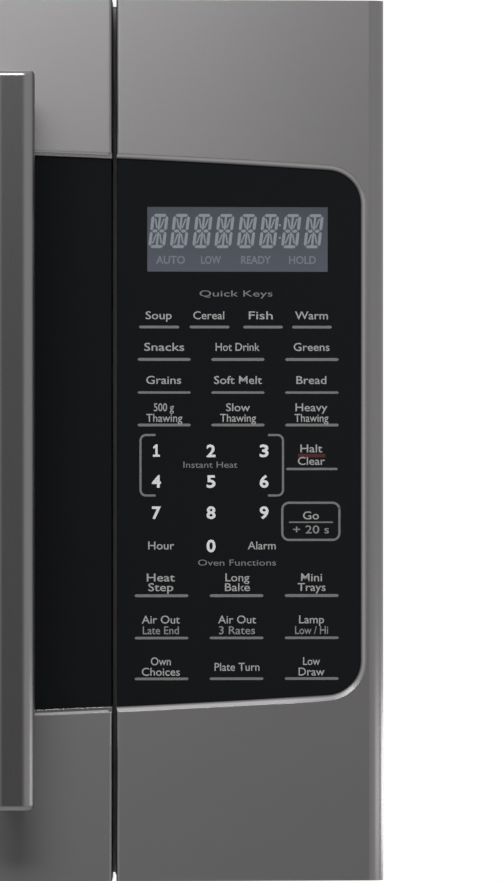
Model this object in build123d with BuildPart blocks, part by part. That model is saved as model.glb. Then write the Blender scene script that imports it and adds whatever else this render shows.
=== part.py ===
from build123d import *
import math
import os

os.makedirs("parts", exist_ok=True)

# Over-the-range microwave oven, in millimetres.
# The origin is the centre of the face that lies on the wall. +Z is up, the front faces -Y,
# the control panel is at the +X end and the door is hinged at the -X end.

# Overall sizes
WIDTH = 758.8
HEIGHT = 414.3
SHEET = 1.0                     # steel sheet of the case and the cavity
SKIN = 2.0                      # stainless front, with its folded edges
CASE_BEND = 3.0                 # outer bend radius of the case

# Front: a gentle bow in plan, the same on the door and on the control panel
FRONT_Y = -398.0                # front surface on the centre line
BOW_SAG = 18.0                  # how far the two ends lie behind the middle
EDGE_ROUND = 7.5                # rounded outer vertical edges
SEAM_X = 253.8                  # left edge of the control panel
SEAM_GAP = 2.0                  # gap between the panel and the door
SEAM_ROUND = 1.5                # rounded front edges beside the gap

# Black glass band: barrel-shaped, across the door and the panel
BAND_TOP = 138.1                # height of the band's top edge on the centre line
BAND_BOTTOM = -130.6
BAND_RADIUS = 5700.0            # radius of its long top and bottom edges
BAND_LEFT = -349.4
BAND_RIGHT = 368.6
BAND_CORNER = 16.0
BEVEL_WIDTH = 2.6               # bright bevel that leads down to the glass
BEVEL_DEPTH = 1.7
GLASS_INSET = 2.2               # glass face below the stainless face
GLASS_THICK = 3.2
GLASS_MARGIN = 3.4              # glass hidden under the stainless all round

# Case, between the wall plate and the front
CASE_HALF = 378.0
CASE_TOP = 205.0
CASE_BACK = -4.0
CASE_FRONT = -345.0

# Cooking cavity
CAVITY_X = (-345.0, 190.0)
CAVITY_Z = (-150.0, 105.0)
CAVITY_BACK = -25.0
CAVITY_ROUND = 12.0
TURN_X = -77.5                  # turntable axis
TURN_Y = -185.0
TRAY_RADIUS = 152.5
TRAY_Z = -134.0                 # underside of the tray
ROLLER_TRACK = 112.0            # radius of the circle that the rollers run on
ROLLER_RADIUS = 7.8
ROLLER_WIDTH = 7.0
ROLLER_AXLE = 2.0
ROLLER_Z = -142.0
ROLLERS = 3

# Door hinge
HINGE_X = -361.0
HINGE_Y = -367.0
HINGE_SWEEP = 20.2              # the hinge side of the door stays inside this radius
HINGE_PIN = 4.0
HINGE_PLATE_Z = 196.0           # inner face of each hinge plate, above and below the middle
HINGE_PLATE = 3.0
DOOR_BACK = -349.0

# Door handle
HANDLE_X = 206.0
HANDLE_REACH = 38.0             # bar centre in front of the door
HANDLE_LENGTH = 344.0
POST_Z = 158.0
HANDLE_SCREW = 2.0

# Latch
LATCH_X = 228.0
HOOK_Z = (52.0, -68.0)

# Wall plate and cabinet bolts
PLATE_WIDTH = 730.0
PLATE_HEIGHT = 372.0
PLATE_THICK = 1.5
STUD_SPACING = 406.4            # studs at 16 inch centres
STUD_RISE = 304.8
STUD_HOLE = 3.5
WALL_HOOK_X = 250.0
BOLT_X = 300.0
BOLT_Y = -200.0
BOLT_HOLE = 3.5

# Exhaust outlet for a duct of 3 1/4 by 10 inches, with its damper
DUCT_X = 127.0
DUCT_Y = (-121.0, -38.4)
DUCT_SHEET = 0.8
DUCT_TOP = 224.0
DAMPER_Y = -42.2
DAMPER_Z = 214.0
DAMPER_ROD = 2.0

# Blower above the cavity
BLOWER_Y = -79.7
BLOWER_Z = 152.0
BLOWER_HALF = 128.0
BLOWER_WHEEL = 38.0
BLOWER_BLADES = 24
BLOWER_SHAFT = 4.0

# Underside: grease filters and cooktop lamps
FILTER_X = 262.0
FILTER_WIDTH = 120.0
FILTER_LENGTH = 190.0
FILTER_THICK = 8.0
FILTER_Y = -58.0                # pivot at the rear edge
FILTER_Z = -199.5
FILTER_PIN = 2.0
LAMP_X = 95.0
LAMP_WIDTH = 104.0
LAMP_LENGTH = 57.0
LAMP_THICK = 4.0
LAMP_Y = -263.0
LAMP_Z = -202.3
LAMP_PIN = 1.5

# Magnetron and its cooling fan, right of the cavity
MAGNETRON_Y = -190.0
FAN_X = 290.0
FAN_Z = 50.0
FAN_BORE = 54.0
FAN_SHAFT = 3.0

RUN_FIT = 0.05                  # radial play of a running fit
SCREW_SHANK = 1.6               # sheet metal screws: radii of shank and head, and head height
SCREW_HEAD = 3.8
SCREW_HEAD_HEIGHT = 2.2
PILOT_HOLE = 1.7
ON_BASE = (Align.CENTER, Align.CENTER, Align.MIN)

HALF_WIDTH = WIDTH / 2
HALF_HEIGHT = HEIGHT / 2
BOW_RADIUS = (HALF_WIDTH ** 2 + BOW_SAG ** 2) / (2 * BOW_SAG)
BOW_CENTRE_Y = FRONT_Y + BOW_RADIUS
SHELF_Z = CAVITY_Z[0]
LINER_RIGHT = CAVITY_X[1] + SHEET
PANEL_X = 316.6                 # middle of the control panel
PANEL_TILT = math.asin(PANEL_X / BOW_RADIUS)


def finish(piece, label):
    """Label a finished piece and write its STEP file."""
    piece.part.label = label
    export_step(piece.part, f"parts/{label}.step")


def block(x, y, z, mode=Mode.ADD):
    """Add or cut a block that fills the spans x, y and z, each a (low, high) pair."""
    middle = ((x[0] + x[1]) / 2, (y[0] + y[1]) / 2, (z[0] + z[1]) / 2)
    with Locations(middle):
        Box(x[1] - x[0], y[1] - y[0], z[1] - z[0], mode=mode)


def around(centre, half):
    """Span of plus and minus half about a centre."""
    return (centre - half, centre + half)


def rod(start, axis, radius, length, mode=Mode.ADD):
    """Add or cut a cylinder that runs from start along axis X, Y or Z."""
    directions = {"X": (1, 0, 0), "Y": (0, 1, 0), "Z": (0, 0, 1)}
    side = (0, 0, 1) if axis == "X" else (1, 0, 0)
    with Locations(Plane(origin=start, x_dir=side, z_dir=directions[axis])):
        Cylinder(radius, length, align=ON_BASE, mode=mode)


def bow_y(x, inset=0.0):
    """Place on Y of the bowed front at x, or of a surface that lies inset behind it."""
    return BOW_CENTRE_Y - math.sqrt((BOW_RADIUS - inset) ** 2 - x ** 2)


def bow_slab(x, insets, z, mode=Mode.ADD):
    """Add or cut a slab that follows the bowed front, between two insets behind it."""
    centre = (x[0] + x[1]) / 2
    with BuildSketch(Plane.XY.offset(z[0])) as plan:
        with BuildLine():
            front = [(at, bow_y(at, insets[0])) for at in (x[0], centre, x[1])]
            back = [(at, bow_y(at, insets[1])) for at in (x[0], centre, x[1])]
            ThreePointArc(*front)
            Line(front[2], back[2])
            ThreePointArc(*back)
            Line(back[0], front[0])
        make_face()
    extrude(plan.sketch, amount=z[1] - z[0], mode=mode)


def band_edge(x, apex, margin):
    """Height of the band's long edge at x. Its two ends draw in towards the middle."""
    drop = BAND_RADIUS - math.sqrt(BAND_RADIUS ** 2 - x ** 2)
    return apex + margin - drop if apex > 0 else apex - margin + drop


def band_outline(x, margin, corner_x):
    """Barrel outline of the black band between the spans x, with round corners at corner_x."""
    centre = (x[0] + x[1]) / 2
    top = [(at, band_edge(at, BAND_TOP, margin)) for at in (x[0], centre, x[1])]
    bottom = [(at, band_edge(at, BAND_BOTTOM, margin)) for at in (x[0], centre, x[1])]
    with BuildSketch(Plane.XZ.offset(-FRONT_Y + 5)) as outline:
        with BuildLine():
            ThreePointArc(*top)
            Line(top[2], bottom[2])
            ThreePointArc(*bottom)
            Line(bottom[0], top[0])
        make_face()
        corners = outline.vertices().filter_by_position(Axis.X, corner_x - 0.1, corner_x + 0.1)
        fillet(corners, BAND_CORNER + margin)
    return outline.sketch


def bevel_band(piece, x):
    """Bevel the front edge of the stainless round the black band."""
    face = piece.faces().filter_by(GeomType.CYLINDER).sort_by(SortBy.AREA)[-1]
    rim = [
        edge
        for edge in face.edges()
        if x[0] < edge.center().X < x[1] and BAND_BOTTOM - 1 < edge.center().Z < BAND_TOP + 1
    ]
    chamfer(rim, BEVEL_WIDTH, BEVEL_DEPTH, reference=face)


# ---------------------------------------------------------------------------
# Wall plate, case and front frame
# ---------------------------------------------------------------------------
TONGUE_Z = (-PLATE_HEIGHT / 2, -PLATE_HEIGHT / 2 + PLATE_THICK)
TONGUE_HALF = 30.0
TONGUE_REACH = 14.0             # from the wall to the front of the turned-up lip
SLOT_LENGTH = 34.0
SLOT_WIDTH = 7.0
SLOT_PITCH = 60.0
SLOT_RISE = 240.0

with BuildPart() as wall_plate:
    with BuildSketch(Plane.XZ):
        Rectangle(PLATE_WIDTH, PLATE_HEIGHT)
        with GridLocations(STUD_SPACING, STUD_RISE, 2, 2):
            Circle(STUD_HOLE, mode=Mode.SUBTRACT)
        with GridLocations(SLOT_PITCH, SLOT_RISE, 6, 2):
            SlotOverall(SLOT_LENGTH, SLOT_WIDTH, mode=Mode.SUBTRACT)
    extrude(amount=PLATE_THICK)
    for side in (-1, 1):
        hook_x = around(side * WALL_HOOK_X, TONGUE_HALF)
        lip_y = (-TONGUE_REACH, PLATE_THICK - TONGUE_REACH)
        block(hook_x, (-TONGUE_REACH, 0), TONGUE_Z)
        block(hook_x, lip_y, (TONGUE_Z[0], TONGUE_Z[0] + TONGUE_REACH))
finish(wall_plate, "wall_plate")

SCREW_X = 371.0
SCREW_HEIGHTS = (-165, -55, 55, 165)
SCREW_HOLE = 2.1
HOOK_WINDOW = (66.0, 16.0)      # the wall plate's tongues pass through these windows
HOOK_WINDOW_Z = -192.4
back_screws = [(side * SCREW_X, height) for side in (-1, 1) for height in SCREW_HEIGHTS]

with BuildPart() as back_plate:
    with BuildSketch(Plane.XZ.offset(-CASE_BACK - SHEET)):
        Rectangle(2 * (CASE_HALF - SHEET), 2 * (CASE_TOP - SHEET))
        with Locations(*back_screws):
            Circle(SCREW_HOLE, mode=Mode.SUBTRACT)
        with Locations((-WALL_HOOK_X, HOOK_WINDOW_Z), (WALL_HOOK_X, HOOK_WINDOW_Z)):
            Rectangle(*HOOK_WINDOW, mode=Mode.SUBTRACT)
    extrude(amount=SHEET)
finish(back_plate, "back_plate")

WRAP_LENGTH = CASE_BACK - CASE_FRONT
GRILLE_X = 330.0
GRILLE_Y = (-340.0, -268.0)
GRILLE_THICK = 1.2
GRILLE_SCREW_X = GRILLE_X + 8
GRILLE_SCREW_Y = sum(GRILLE_Y) / 2
CORD_X = 300.0
CORD_Y = -60.0
CORD_HOLE = 11.0
CASE_FLANGE = 16.0              # turned-in edge that takes the back plate's screws
duct_inner_x = (-DUCT_X + DUCT_SHEET, DUCT_X - DUCT_SHEET)
duct_inner_y = (DUCT_Y[0] + DUCT_SHEET, DUCT_Y[1] - DUCT_SHEET)
top_sheet = (CASE_TOP - SHEET, CASE_TOP)

with BuildPart() as case_wrap:
    with BuildSketch(Plane.XZ.offset(-CASE_BACK)) as shell:
        Rectangle(2 * CASE_HALF, 2 * CASE_TOP)
        fillet(shell.vertices().group_by(Axis.Y)[-1], CASE_BEND)
        with BuildSketch(mode=Mode.PRIVATE) as hollow:
            with Locations((0, -SHEET / 2)):
                Rectangle(2 * (CASE_HALF - SHEET), 2 * CASE_TOP - SHEET)
            fillet(hollow.vertices().group_by(Axis.Y)[-1], CASE_BEND - SHEET)
        add(hollow.sketch, mode=Mode.SUBTRACT)
    extrude(amount=WRAP_LENGTH)
    for side in (-1, 1):
        flange_x = sorted((side * (CASE_HALF - SHEET), side * (CASE_HALF - SHEET - CASE_FLANGE)))
        flange_z = (-CASE_TOP + SHEET, CASE_TOP - CASE_BEND - SHEET)
        block(flange_x, (CASE_BACK - SHEET, CASE_BACK), flange_z)
    for x, z in back_screws:
        rod((x, CASE_BACK - SHEET, z), "Y", PILOT_HOLE, SHEET, mode=Mode.SUBTRACT)
    block(duct_inner_x, duct_inner_y, top_sheet, mode=Mode.SUBTRACT)
    block((-GRILLE_X, GRILLE_X), GRILLE_Y, top_sheet, mode=Mode.SUBTRACT)
    rod((CORD_X, CORD_Y, top_sheet[0]), "Z", CORD_HOLE, SHEET, mode=Mode.SUBTRACT)
    for side in (-1, 1):
        rod((side * BOLT_X, BOLT_Y, top_sheet[0]), "Z", BOLT_HOLE, SHEET, mode=Mode.SUBTRACT)
        screw_place = (side * GRILLE_SCREW_X, GRILLE_SCREW_Y, top_sheet[0])
        rod(screw_place, "Z", PILOT_HOLE, SHEET, mode=Mode.SUBTRACT)
finish(case_wrap, "case_wrap")

FILTER_APERTURE = 63.0          # half widths of the openings in the base
LAMP_APERTURE = 54.0
FILTER_GAP = 3.0                # gaps before and behind what closes them
LAMP_GAP = 2.0
LUG_SET = 1.5                   # middle of a pivot lug beyond the opening's edge
LUG_THICK = 2.0
FILTER_LUG = 6.0                # half depths of the lugs
LAMP_LUG = 5.0
base_sheet = (-CASE_TOP, -CASE_TOP + SHEET)

with BuildPart() as base_plate:
    block(around(0, CASE_HALF - SHEET), (CASE_FRONT, CASE_BACK), base_sheet)
    for side in (-1, 1):
        filter_x = side * FILTER_X
        lamp_x = side * LAMP_X
        filter_rear = FILTER_Y + FILTER_THICK / 2
        filter_y = (filter_rear - FILTER_LENGTH - FILTER_GAP, filter_rear + FILTER_GAP)
        lamp_rear = LAMP_Y + LAMP_THICK / 2
        lamp_y = (lamp_rear - LAMP_LENGTH - LAMP_GAP, lamp_rear + LAMP_GAP)
        block(around(filter_x, FILTER_APERTURE), filter_y, base_sheet, mode=Mode.SUBTRACT)
        block(around(lamp_x, LAMP_APERTURE), lamp_y, base_sheet, mode=Mode.SUBTRACT)
        for end in (-1, 1):
            lug_x = around(filter_x + end * (FILTER_APERTURE + LUG_SET), LUG_THICK / 2)
            block(lug_x, around(FILTER_Y, FILTER_LUG), (base_sheet[1], FILTER_Z + FILTER_LUG))
            pin_place = (lug_x[0], FILTER_Y, FILTER_Z)
            rod(pin_place, "X", FILTER_PIN + RUN_FIT, LUG_THICK, mode=Mode.SUBTRACT)
            lug_x = around(lamp_x + end * (LAMP_APERTURE + LUG_SET), LUG_THICK / 2)
            block(lug_x, around(LAMP_Y, LAMP_LUG), (base_sheet[1], LAMP_Z + LAMP_LUG))
            pin_place = (lug_x[0], LAMP_Y, LAMP_Z)
            rod(pin_place, "X", LAMP_PIN + RUN_FIT, LUG_THICK, mode=Mode.SUBTRACT)
finish(base_plate, "base_plate")

HINGE_SLOT_X = (HINGE_X - 7, HINGE_X + 11)
PANEL_OPENING_X = (270.0, 364.0)
PANEL_OPENING_Z = (-170.0, 170.0)
LATCH_SLOT = (14.0, 36.0)
LATCH_SLOT_RISE = 2.0           # middle of a slot above its hook
HINGE_SLOT_PLAY = 0.3

with BuildPart() as front_frame:
    with BuildSketch(Plane.XZ.offset(-CASE_FRONT)):
        Rectangle(2 * CASE_HALF, 2 * CASE_TOP)
        with Locations((sum(CAVITY_X) / 2, sum(CAVITY_Z) / 2)):
            width = CAVITY_X[1] - CAVITY_X[0]
            height = CAVITY_Z[1] - CAVITY_Z[0]
            RectangleRounded(width, height, CAVITY_ROUND, mode=Mode.SUBTRACT)
        with Locations(*[(LATCH_X, height + LATCH_SLOT_RISE) for height in HOOK_Z]):
            RectangleRounded(*LATCH_SLOT, 3, mode=Mode.SUBTRACT)
        with Locations((sum(PANEL_OPENING_X) / 2, sum(PANEL_OPENING_Z) / 2)):
            width = PANEL_OPENING_X[1] - PANEL_OPENING_X[0]
            height = PANEL_OPENING_Z[1] - PANEL_OPENING_Z[0]
            RectangleRounded(width, height, 6, mode=Mode.SUBTRACT)
        plate_middle = HINGE_PLATE_Z + HINGE_PLATE / 2
        with Locations(*[(sum(HINGE_SLOT_X) / 2, side * plate_middle) for side in (-1, 1)]):
            width = HINGE_SLOT_X[1] - HINGE_SLOT_X[0]
            Rectangle(width, HINGE_PLATE + 2 * HINGE_SLOT_PLAY, mode=Mode.SUBTRACT)
    extrude(amount=SHEET)
finish(front_frame, "front_frame")

HINGE_EYE = 6.0                 # radius of the plate round the pin
HINGE_ARM = (HINGE_X - 5, HINGE_X + 9)
HINGE_FOOT_Z = 168.0            # the riveted foot and the pin reach down to these heights
HINGE_PIN_Z = 182.0
hinge_foot_y = (CASE_FRONT, CASE_FRONT + HINGE_PLATE)

with BuildPart() as hinge_plates:
    for side in (-1, 1):
        low = min(side * HINGE_PLATE_Z, side * (HINGE_PLATE_Z + HINGE_PLATE))
        with BuildSketch(Plane.XY.offset(low)) as plate_plan:
            with Locations((HINGE_X, HINGE_Y)):
                Circle(HINGE_EYE)
            with Locations((sum(HINGE_ARM) / 2, (HINGE_Y + hinge_foot_y[1]) / 2)):
                Rectangle(HINGE_ARM[1] - HINGE_ARM[0], hinge_foot_y[1] - HINGE_Y)
        extrude(plate_plan.sketch, amount=HINGE_PLATE)
        foot_z = sorted((side * HINGE_FOOT_Z, side * (HINGE_PLATE_Z + HINGE_PLATE)))
        block(HINGE_ARM, hinge_foot_y, foot_z)
        pin_z = min(side * HINGE_PIN_Z, side * HINGE_PLATE_Z)
        rod((HINGE_X, HINGE_Y, pin_z), "Z", HINGE_PIN, HINGE_PLATE_Z - HINGE_PIN_Z)
finish(hinge_plates, "hinge_plates")

BACK_SCREW_LENGTH = 9.0
GRILLE_SCREW_LENGTH = 8.2
with BuildPart() as case_screws:
    for x, z in back_screws:
        head_y = CASE_BACK + SHEET
        rod((x, head_y - BACK_SCREW_LENGTH, z), "Y", SCREW_SHANK, BACK_SCREW_LENGTH)
        rod((x, head_y, z), "Y", SCREW_HEAD, SCREW_HEAD_HEIGHT)
    for side in (-1, 1):
        x = side * GRILLE_SCREW_X
        head_z = CASE_TOP + GRILLE_THICK
        rod((x, GRILLE_SCREW_Y, head_z - GRILLE_SCREW_LENGTH), "Z", SCREW_SHANK, GRILLE_SCREW_LENGTH)
        rod((x, GRILLE_SCREW_Y, head_z), "Z", SCREW_HEAD, SCREW_HEAD_HEIGHT)
finish(case_screws, "case_screws")

# ---------------------------------------------------------------------------
# Cooking cavity and its turntable
# ---------------------------------------------------------------------------
WAVE_Y = (-215.0, -165.0)       # opening in the cavity wall for the microwaves
WAVE_Z = (-25.0, 25.0)
WAVE_LAP = (18.0, 12.0)         # mica beyond the opening, on Y and on Z
MICA_THICK = 0.5
HOLE_PITCH = 7.0                # perforations for the lamp and the steam vent
HOLE_RADIUS = 2.0
COUPLER_HOLE = 8.0
CAVITY_LAMP = (-300.0, 70.0)    # Y and Z of the lamp behind its perforations
STEAM_VENT = (-90.0, 60.0)

with BuildPart() as cavity_liner:
    block(
        (CAVITY_X[0] - SHEET, CAVITY_X[1] + SHEET),
        (CASE_FRONT, CAVITY_BACK + SHEET),
        (CAVITY_Z[0] - SHEET, CAVITY_Z[1] + SHEET),
    )
    rear = cavity_liner.faces().sort_by(Axis.Y)[-1]
    fillet(cavity_liner.edges().filter_by(Axis.Y) + rear.edges(), CAVITY_ROUND + SHEET)
    with BuildPart(mode=Mode.PRIVATE) as cavity_space:
        block(CAVITY_X, (CASE_FRONT, CAVITY_BACK), CAVITY_Z)
        rear = cavity_space.faces().sort_by(Axis.Y)[-1]
        fillet(cavity_space.edges().filter_by(Axis.Y) + rear.edges(), CAVITY_ROUND)
    add(cavity_space.part, mode=Mode.SUBTRACT)
    block((CAVITY_X[1], LINER_RIGHT), WAVE_Y, WAVE_Z, mode=Mode.SUBTRACT)
    rod((TURN_X, TURN_Y, CAVITY_Z[0] - SHEET), "Z", COUPLER_HOLE, SHEET, mode=Mode.SUBTRACT)
    with BuildSketch(Plane.YZ.offset(CAVITY_X[1])) as lamp_holes:
        with Locations(CAVITY_LAMP):
            with GridLocations(HOLE_PITCH, HOLE_PITCH, 5, 5):
                Circle(HOLE_RADIUS)
    extrude(lamp_holes.sketch, amount=SHEET, mode=Mode.SUBTRACT)
    with BuildSketch(Plane.YZ.offset(CAVITY_X[0] - SHEET)) as vent_holes:
        with Locations(STEAM_VENT):
            with GridLocations(HOLE_PITCH, HOLE_PITCH, 8, 6):
                Circle(HOLE_RADIUS)
    extrude(vent_holes.sketch, amount=SHEET, mode=Mode.SUBTRACT)
finish(cavity_liner, "cavity_liner")

with BuildPart() as waveguide_cover:
    mica_x = (CAVITY_X[1] - MICA_THICK, CAVITY_X[1])
    mica_y = (WAVE_Y[0] - WAVE_LAP[0], WAVE_Y[1] + WAVE_LAP[0])
    mica_z = (WAVE_Z[0] - WAVE_LAP[1], WAVE_Z[1] + WAVE_LAP[1])
    block(mica_x, mica_y, mica_z)
finish(waveguide_cover, "waveguide_cover")

TURN_MOTOR_RADIUS = 25.0
TURN_MOTOR_Z = (-170.0, CAVITY_Z[0] - SHEET)
TURN_SHAFT = 3.0
turn_motor_height = TURN_MOTOR_Z[1] - TURN_MOTOR_Z[0]
with BuildPart() as turntable_motor:
    rod((TURN_X, TURN_Y, TURN_MOTOR_Z[0]), "Z", TURN_MOTOR_RADIUS, turn_motor_height)
    ear_z = (TURN_MOTOR_Z[1] - 2, TURN_MOTOR_Z[1])
    terminal_z = (TURN_MOTOR_Z[0] + 2, TURN_MOTOR_Z[0] + 14)
    block(around(TURN_X, TURN_MOTOR_RADIUS + 8), around(TURN_Y, 7), ear_z)
    block(around(TURN_X, 9), (TURN_Y + 20, TURN_Y + 34), terminal_z)
    shaft_bore = TURN_SHAFT + RUN_FIT
    rod((TURN_X, TURN_Y, TURN_MOTOR_Z[0]), "Z", shaft_bore, turn_motor_height, mode=Mode.SUBTRACT)
finish(turntable_motor, "turntable_motor")

COUPLER_TOP = TRAY_Z - 0.4
COUPLER_HUB_Z = CAVITY_Z[0] + SHEET
COUPLER_ARM_Z = -143.0
COUPLER_ARM = (22.0, 6.0)
with BuildPart() as coupler:
    rod((TURN_X, TURN_Y, TURN_MOTOR_Z[0] + 2), "Z", TURN_SHAFT, 20)
    rod((TURN_X, TURN_Y, COUPLER_HUB_Z), "Z", 8.5, COUPLER_TOP - COUPLER_HUB_Z)
    with Locations(Plane(origin=(TURN_X, TURN_Y, COUPLER_ARM_Z))):
        with PolarLocations(COUPLER_ARM[0] / 2, 3):
            Box(*COUPLER_ARM, COUPLER_TOP - COUPLER_ARM_Z, align=ON_BASE)
finish(coupler, "coupler")

TRAY_FOOT = (12.0, 8.0, 6.0)    # three feet drop between the coupler's arms
TRAY_FOOT_RADIUS = 15.0
with BuildPart() as glass_tray:
    with BuildSketch(Plane.XZ) as tray_profile:
        with BuildLine():
            outer_wall = (TRAY_RADIUS - 1.5, 9)
            lip = (TRAY_RADIUS - 3, 12)
            Polyline((0, 0), (138, 0), (144, 1.5), outer_wall)
            ThreePointArc(outer_wall, (TRAY_RADIUS, 11), lip)
            Polyline(lip, (141, 6.5), (136, 5), (0, 5), (0, 0))
        make_face()
    revolve(tray_profile.sketch, axis=Axis.Z)
    with Locations(Plane(origin=(0, 0, 1 - TRAY_FOOT[2]))):
        with PolarLocations(TRAY_FOOT_RADIUS, 3, start_angle=60):
            Box(*TRAY_FOOT, align=ON_BASE)
glass_tray.part.position = (TURN_X, TURN_Y, TRAY_Z)
finish(glass_tray, "glass_tray")

roller_angles = [30 + 360 / ROLLERS * index for index in range(ROLLERS)]
RING_OUTER = 106.0
RING_WIDTH = 6.0
RING_THICK = 5.0
HUB_OUTER = 33.0
SPOKE_WIDTH = 8.0
AXLE_END = 119.0
AXLE_HEAD = (ROLLER_AXLE + 0.7, 1.5)    # radius and length
spoke_inner = HUB_OUTER - 1
spoke_outer = RING_OUTER - 5

with BuildPart() as roller_ring:
    with BuildSketch(Plane.XY.offset(ROLLER_Z - RING_THICK / 2)) as ring_plan:
        with Locations((TURN_X, TURN_Y)):
            for radius in (RING_OUTER, HUB_OUTER):
                Circle(radius)
                Circle(radius - RING_WIDTH, mode=Mode.SUBTRACT)
            with PolarLocations((spoke_inner + spoke_outer) / 2, ROLLERS, start_angle=30):
                Rectangle(spoke_outer - spoke_inner, SPOKE_WIDTH)
    extrude(ring_plan.sketch, amount=RING_THICK)
    for angle in roller_angles:
        outward = (math.cos(math.radians(angle)), math.sin(math.radians(angle)), 0)
        with Locations(Plane(origin=(TURN_X, TURN_Y, ROLLER_Z), x_dir=(0, 0, 1), z_dir=outward)):
            axle_start = RING_OUTER - RING_WIDTH / 2
            with Locations((0, 0, axle_start)):
                Cylinder(ROLLER_AXLE, AXLE_END - axle_start, align=ON_BASE)
            with Locations((0, 0, AXLE_END - AXLE_HEAD[1])):
                Cylinder(*AXLE_HEAD, align=ON_BASE)
finish(roller_ring, "roller_ring")

for index, angle in enumerate(roller_angles):
    outward = (math.cos(math.radians(angle)), math.sin(math.radians(angle)), 0)
    hub = Plane(origin=(TURN_X, TURN_Y, ROLLER_Z), x_dir=(0, 0, 1), z_dir=outward)
    with BuildPart(hub.offset(ROLLER_TRACK - ROLLER_WIDTH / 2)) as roller:
        Cylinder(ROLLER_RADIUS, ROLLER_WIDTH, align=ON_BASE)
        fillet(roller.edges(), 1)
        Cylinder(ROLLER_AXLE + RUN_FIT, ROLLER_WIDTH, align=ON_BASE, mode=Mode.SUBTRACT)
    finish(roller, f"roller_{index + 1}")

# ---------------------------------------------------------------------------
# Air path: top grille, charcoal filter, exhaust outlet and blower
# ---------------------------------------------------------------------------
GRILLE_SLOTS = 60
grille_middle = (0, sum(GRILLE_Y) / 2)
grille_depth = GRILLE_Y[1] - GRILLE_Y[0]
GRILLE_SLOT = 6.0
GRILLE_RIM = 14.0               # sheet beyond the slots at each end
CHARCOAL_X = (-140.0, 130.0)
CHARCOAL_Y = (-336.0, -274.0)
CHARCOAL_Z = (184.0, 196.0)
CHARCOAL_POCKET = (29.0, 52.0)
POCKET_PITCH = 33.0
BRACKET_GAP = 1.2               # between the filter and the brackets that carry it
BRACKET_Y = (-330.0, -278.0)
BRACKET_LEDGE = 8.0
BRACKET_SHEET = 1.5

with BuildPart() as top_grille:
    with BuildSketch(Plane.XY.offset(CASE_TOP)) as grille_plan:
        with Locations(grille_middle):
            Rectangle(2 * (GRILLE_X + GRILLE_RIM), grille_depth + 4)
            with GridLocations(2 * GRILLE_X / GRILLE_SLOTS, 0, GRILLE_SLOTS, 1):
                SlotOverall(grille_depth - 8, GRILLE_SLOT, rotation=90, mode=Mode.SUBTRACT)
        with Locations((-GRILLE_SCREW_X, GRILLE_SCREW_Y), (GRILLE_SCREW_X, GRILLE_SCREW_Y)):
            Circle(PILOT_HOLE, mode=Mode.SUBTRACT)
    extrude(grille_plan.sketch, amount=GRILLE_THICK)
    bracket_foot = CHARCOAL_Z[0] - BRACKET_SHEET
    for x, inward in ((CHARCOAL_X[0] - BRACKET_GAP, 1), (CHARCOAL_X[1] + BRACKET_GAP, -1)):
        ledge_x = sorted((x, x + BRACKET_LEDGE * inward))
        block(around(x, 1), BRACKET_Y, (bracket_foot, CASE_TOP + 0.5))
        block(ledge_x, BRACKET_Y, (bracket_foot, CHARCOAL_Z[0]))
finish(top_grille, "top_grille")

with BuildPart() as charcoal_filter:
    block(CHARCOAL_X, CHARCOAL_Y, CHARCOAL_Z)
    with BuildSketch(Plane.XY.offset(CHARCOAL_Z[1])) as pockets:
        with Locations((sum(CHARCOAL_X) / 2, sum(CHARCOAL_Y) / 2)):
            with GridLocations(POCKET_PITCH, 0, 8, 1):
                RectangleRounded(*CHARCOAL_POCKET, 2)
    extrude(pockets.sketch, amount=-1.5, mode=Mode.SUBTRACT)
finish(charcoal_filter, "charcoal_filter")

DUCT_FLANGE = 12.0
with BuildPart() as exhaust_adaptor:
    flange_x = (-DUCT_X - DUCT_FLANGE, DUCT_X + DUCT_FLANGE)
    flange_y = (DUCT_Y[0] - DUCT_FLANGE, DUCT_Y[1] + DUCT_FLANGE)
    block(flange_x, flange_y, (CASE_TOP, CASE_TOP + SHEET))
    block((-DUCT_X, DUCT_X), DUCT_Y, (CASE_TOP, DUCT_TOP))
    block(duct_inner_x, duct_inner_y, (CASE_TOP, DUCT_TOP), mode=Mode.SUBTRACT)
    stop_y = (duct_inner_y[0], duct_inner_y[0] + 4)
    block(duct_inner_x, stop_y, (DAMPER_Z - 2, DAMPER_Z - 0.9))
    rod((-DUCT_X, DAMPER_Y, DAMPER_Z), "X", DAMPER_ROD + RUN_FIT, 2 * DUCT_X, mode=Mode.SUBTRACT)
finish(exhaust_adaptor, "exhaust_adaptor")

flap_half = DUCT_X - 2
rod_half = DUCT_X - 0.1
with BuildPart() as damper_flap:
    block((-flap_half, flap_half), (duct_inner_y[0] + 1.5, DAMPER_Y), around(DAMPER_Z, 0.75))
    rod((-rod_half, DAMPER_Y, DAMPER_Z), "X", DAMPER_ROD, 2 * rod_half)
finish(damper_flap, "damper_flap")

BLOWER_INLET = 30.0
with BuildPart() as blower_housing:
    shell_half = (DUCT_Y[1] - DUCT_Y[0]) / 2
    for radius, span, mode in (
        (shell_half, BLOWER_HALF, Mode.ADD),
        (shell_half - SHEET, BLOWER_HALF - SHEET, Mode.SUBTRACT),
    ):
        rod((-span, BLOWER_Y, BLOWER_Z), "X", radius, 2 * span, mode=mode)
        block((-span, span), around(BLOWER_Y, radius), (BLOWER_Z, CASE_TOP - SHEET), mode=mode)
    rod((-BLOWER_HALF, BLOWER_Y, BLOWER_Z), "X", BLOWER_INLET, 2 * BLOWER_HALF, mode=Mode.SUBTRACT)
finish(blower_housing, "blower_housing")

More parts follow.
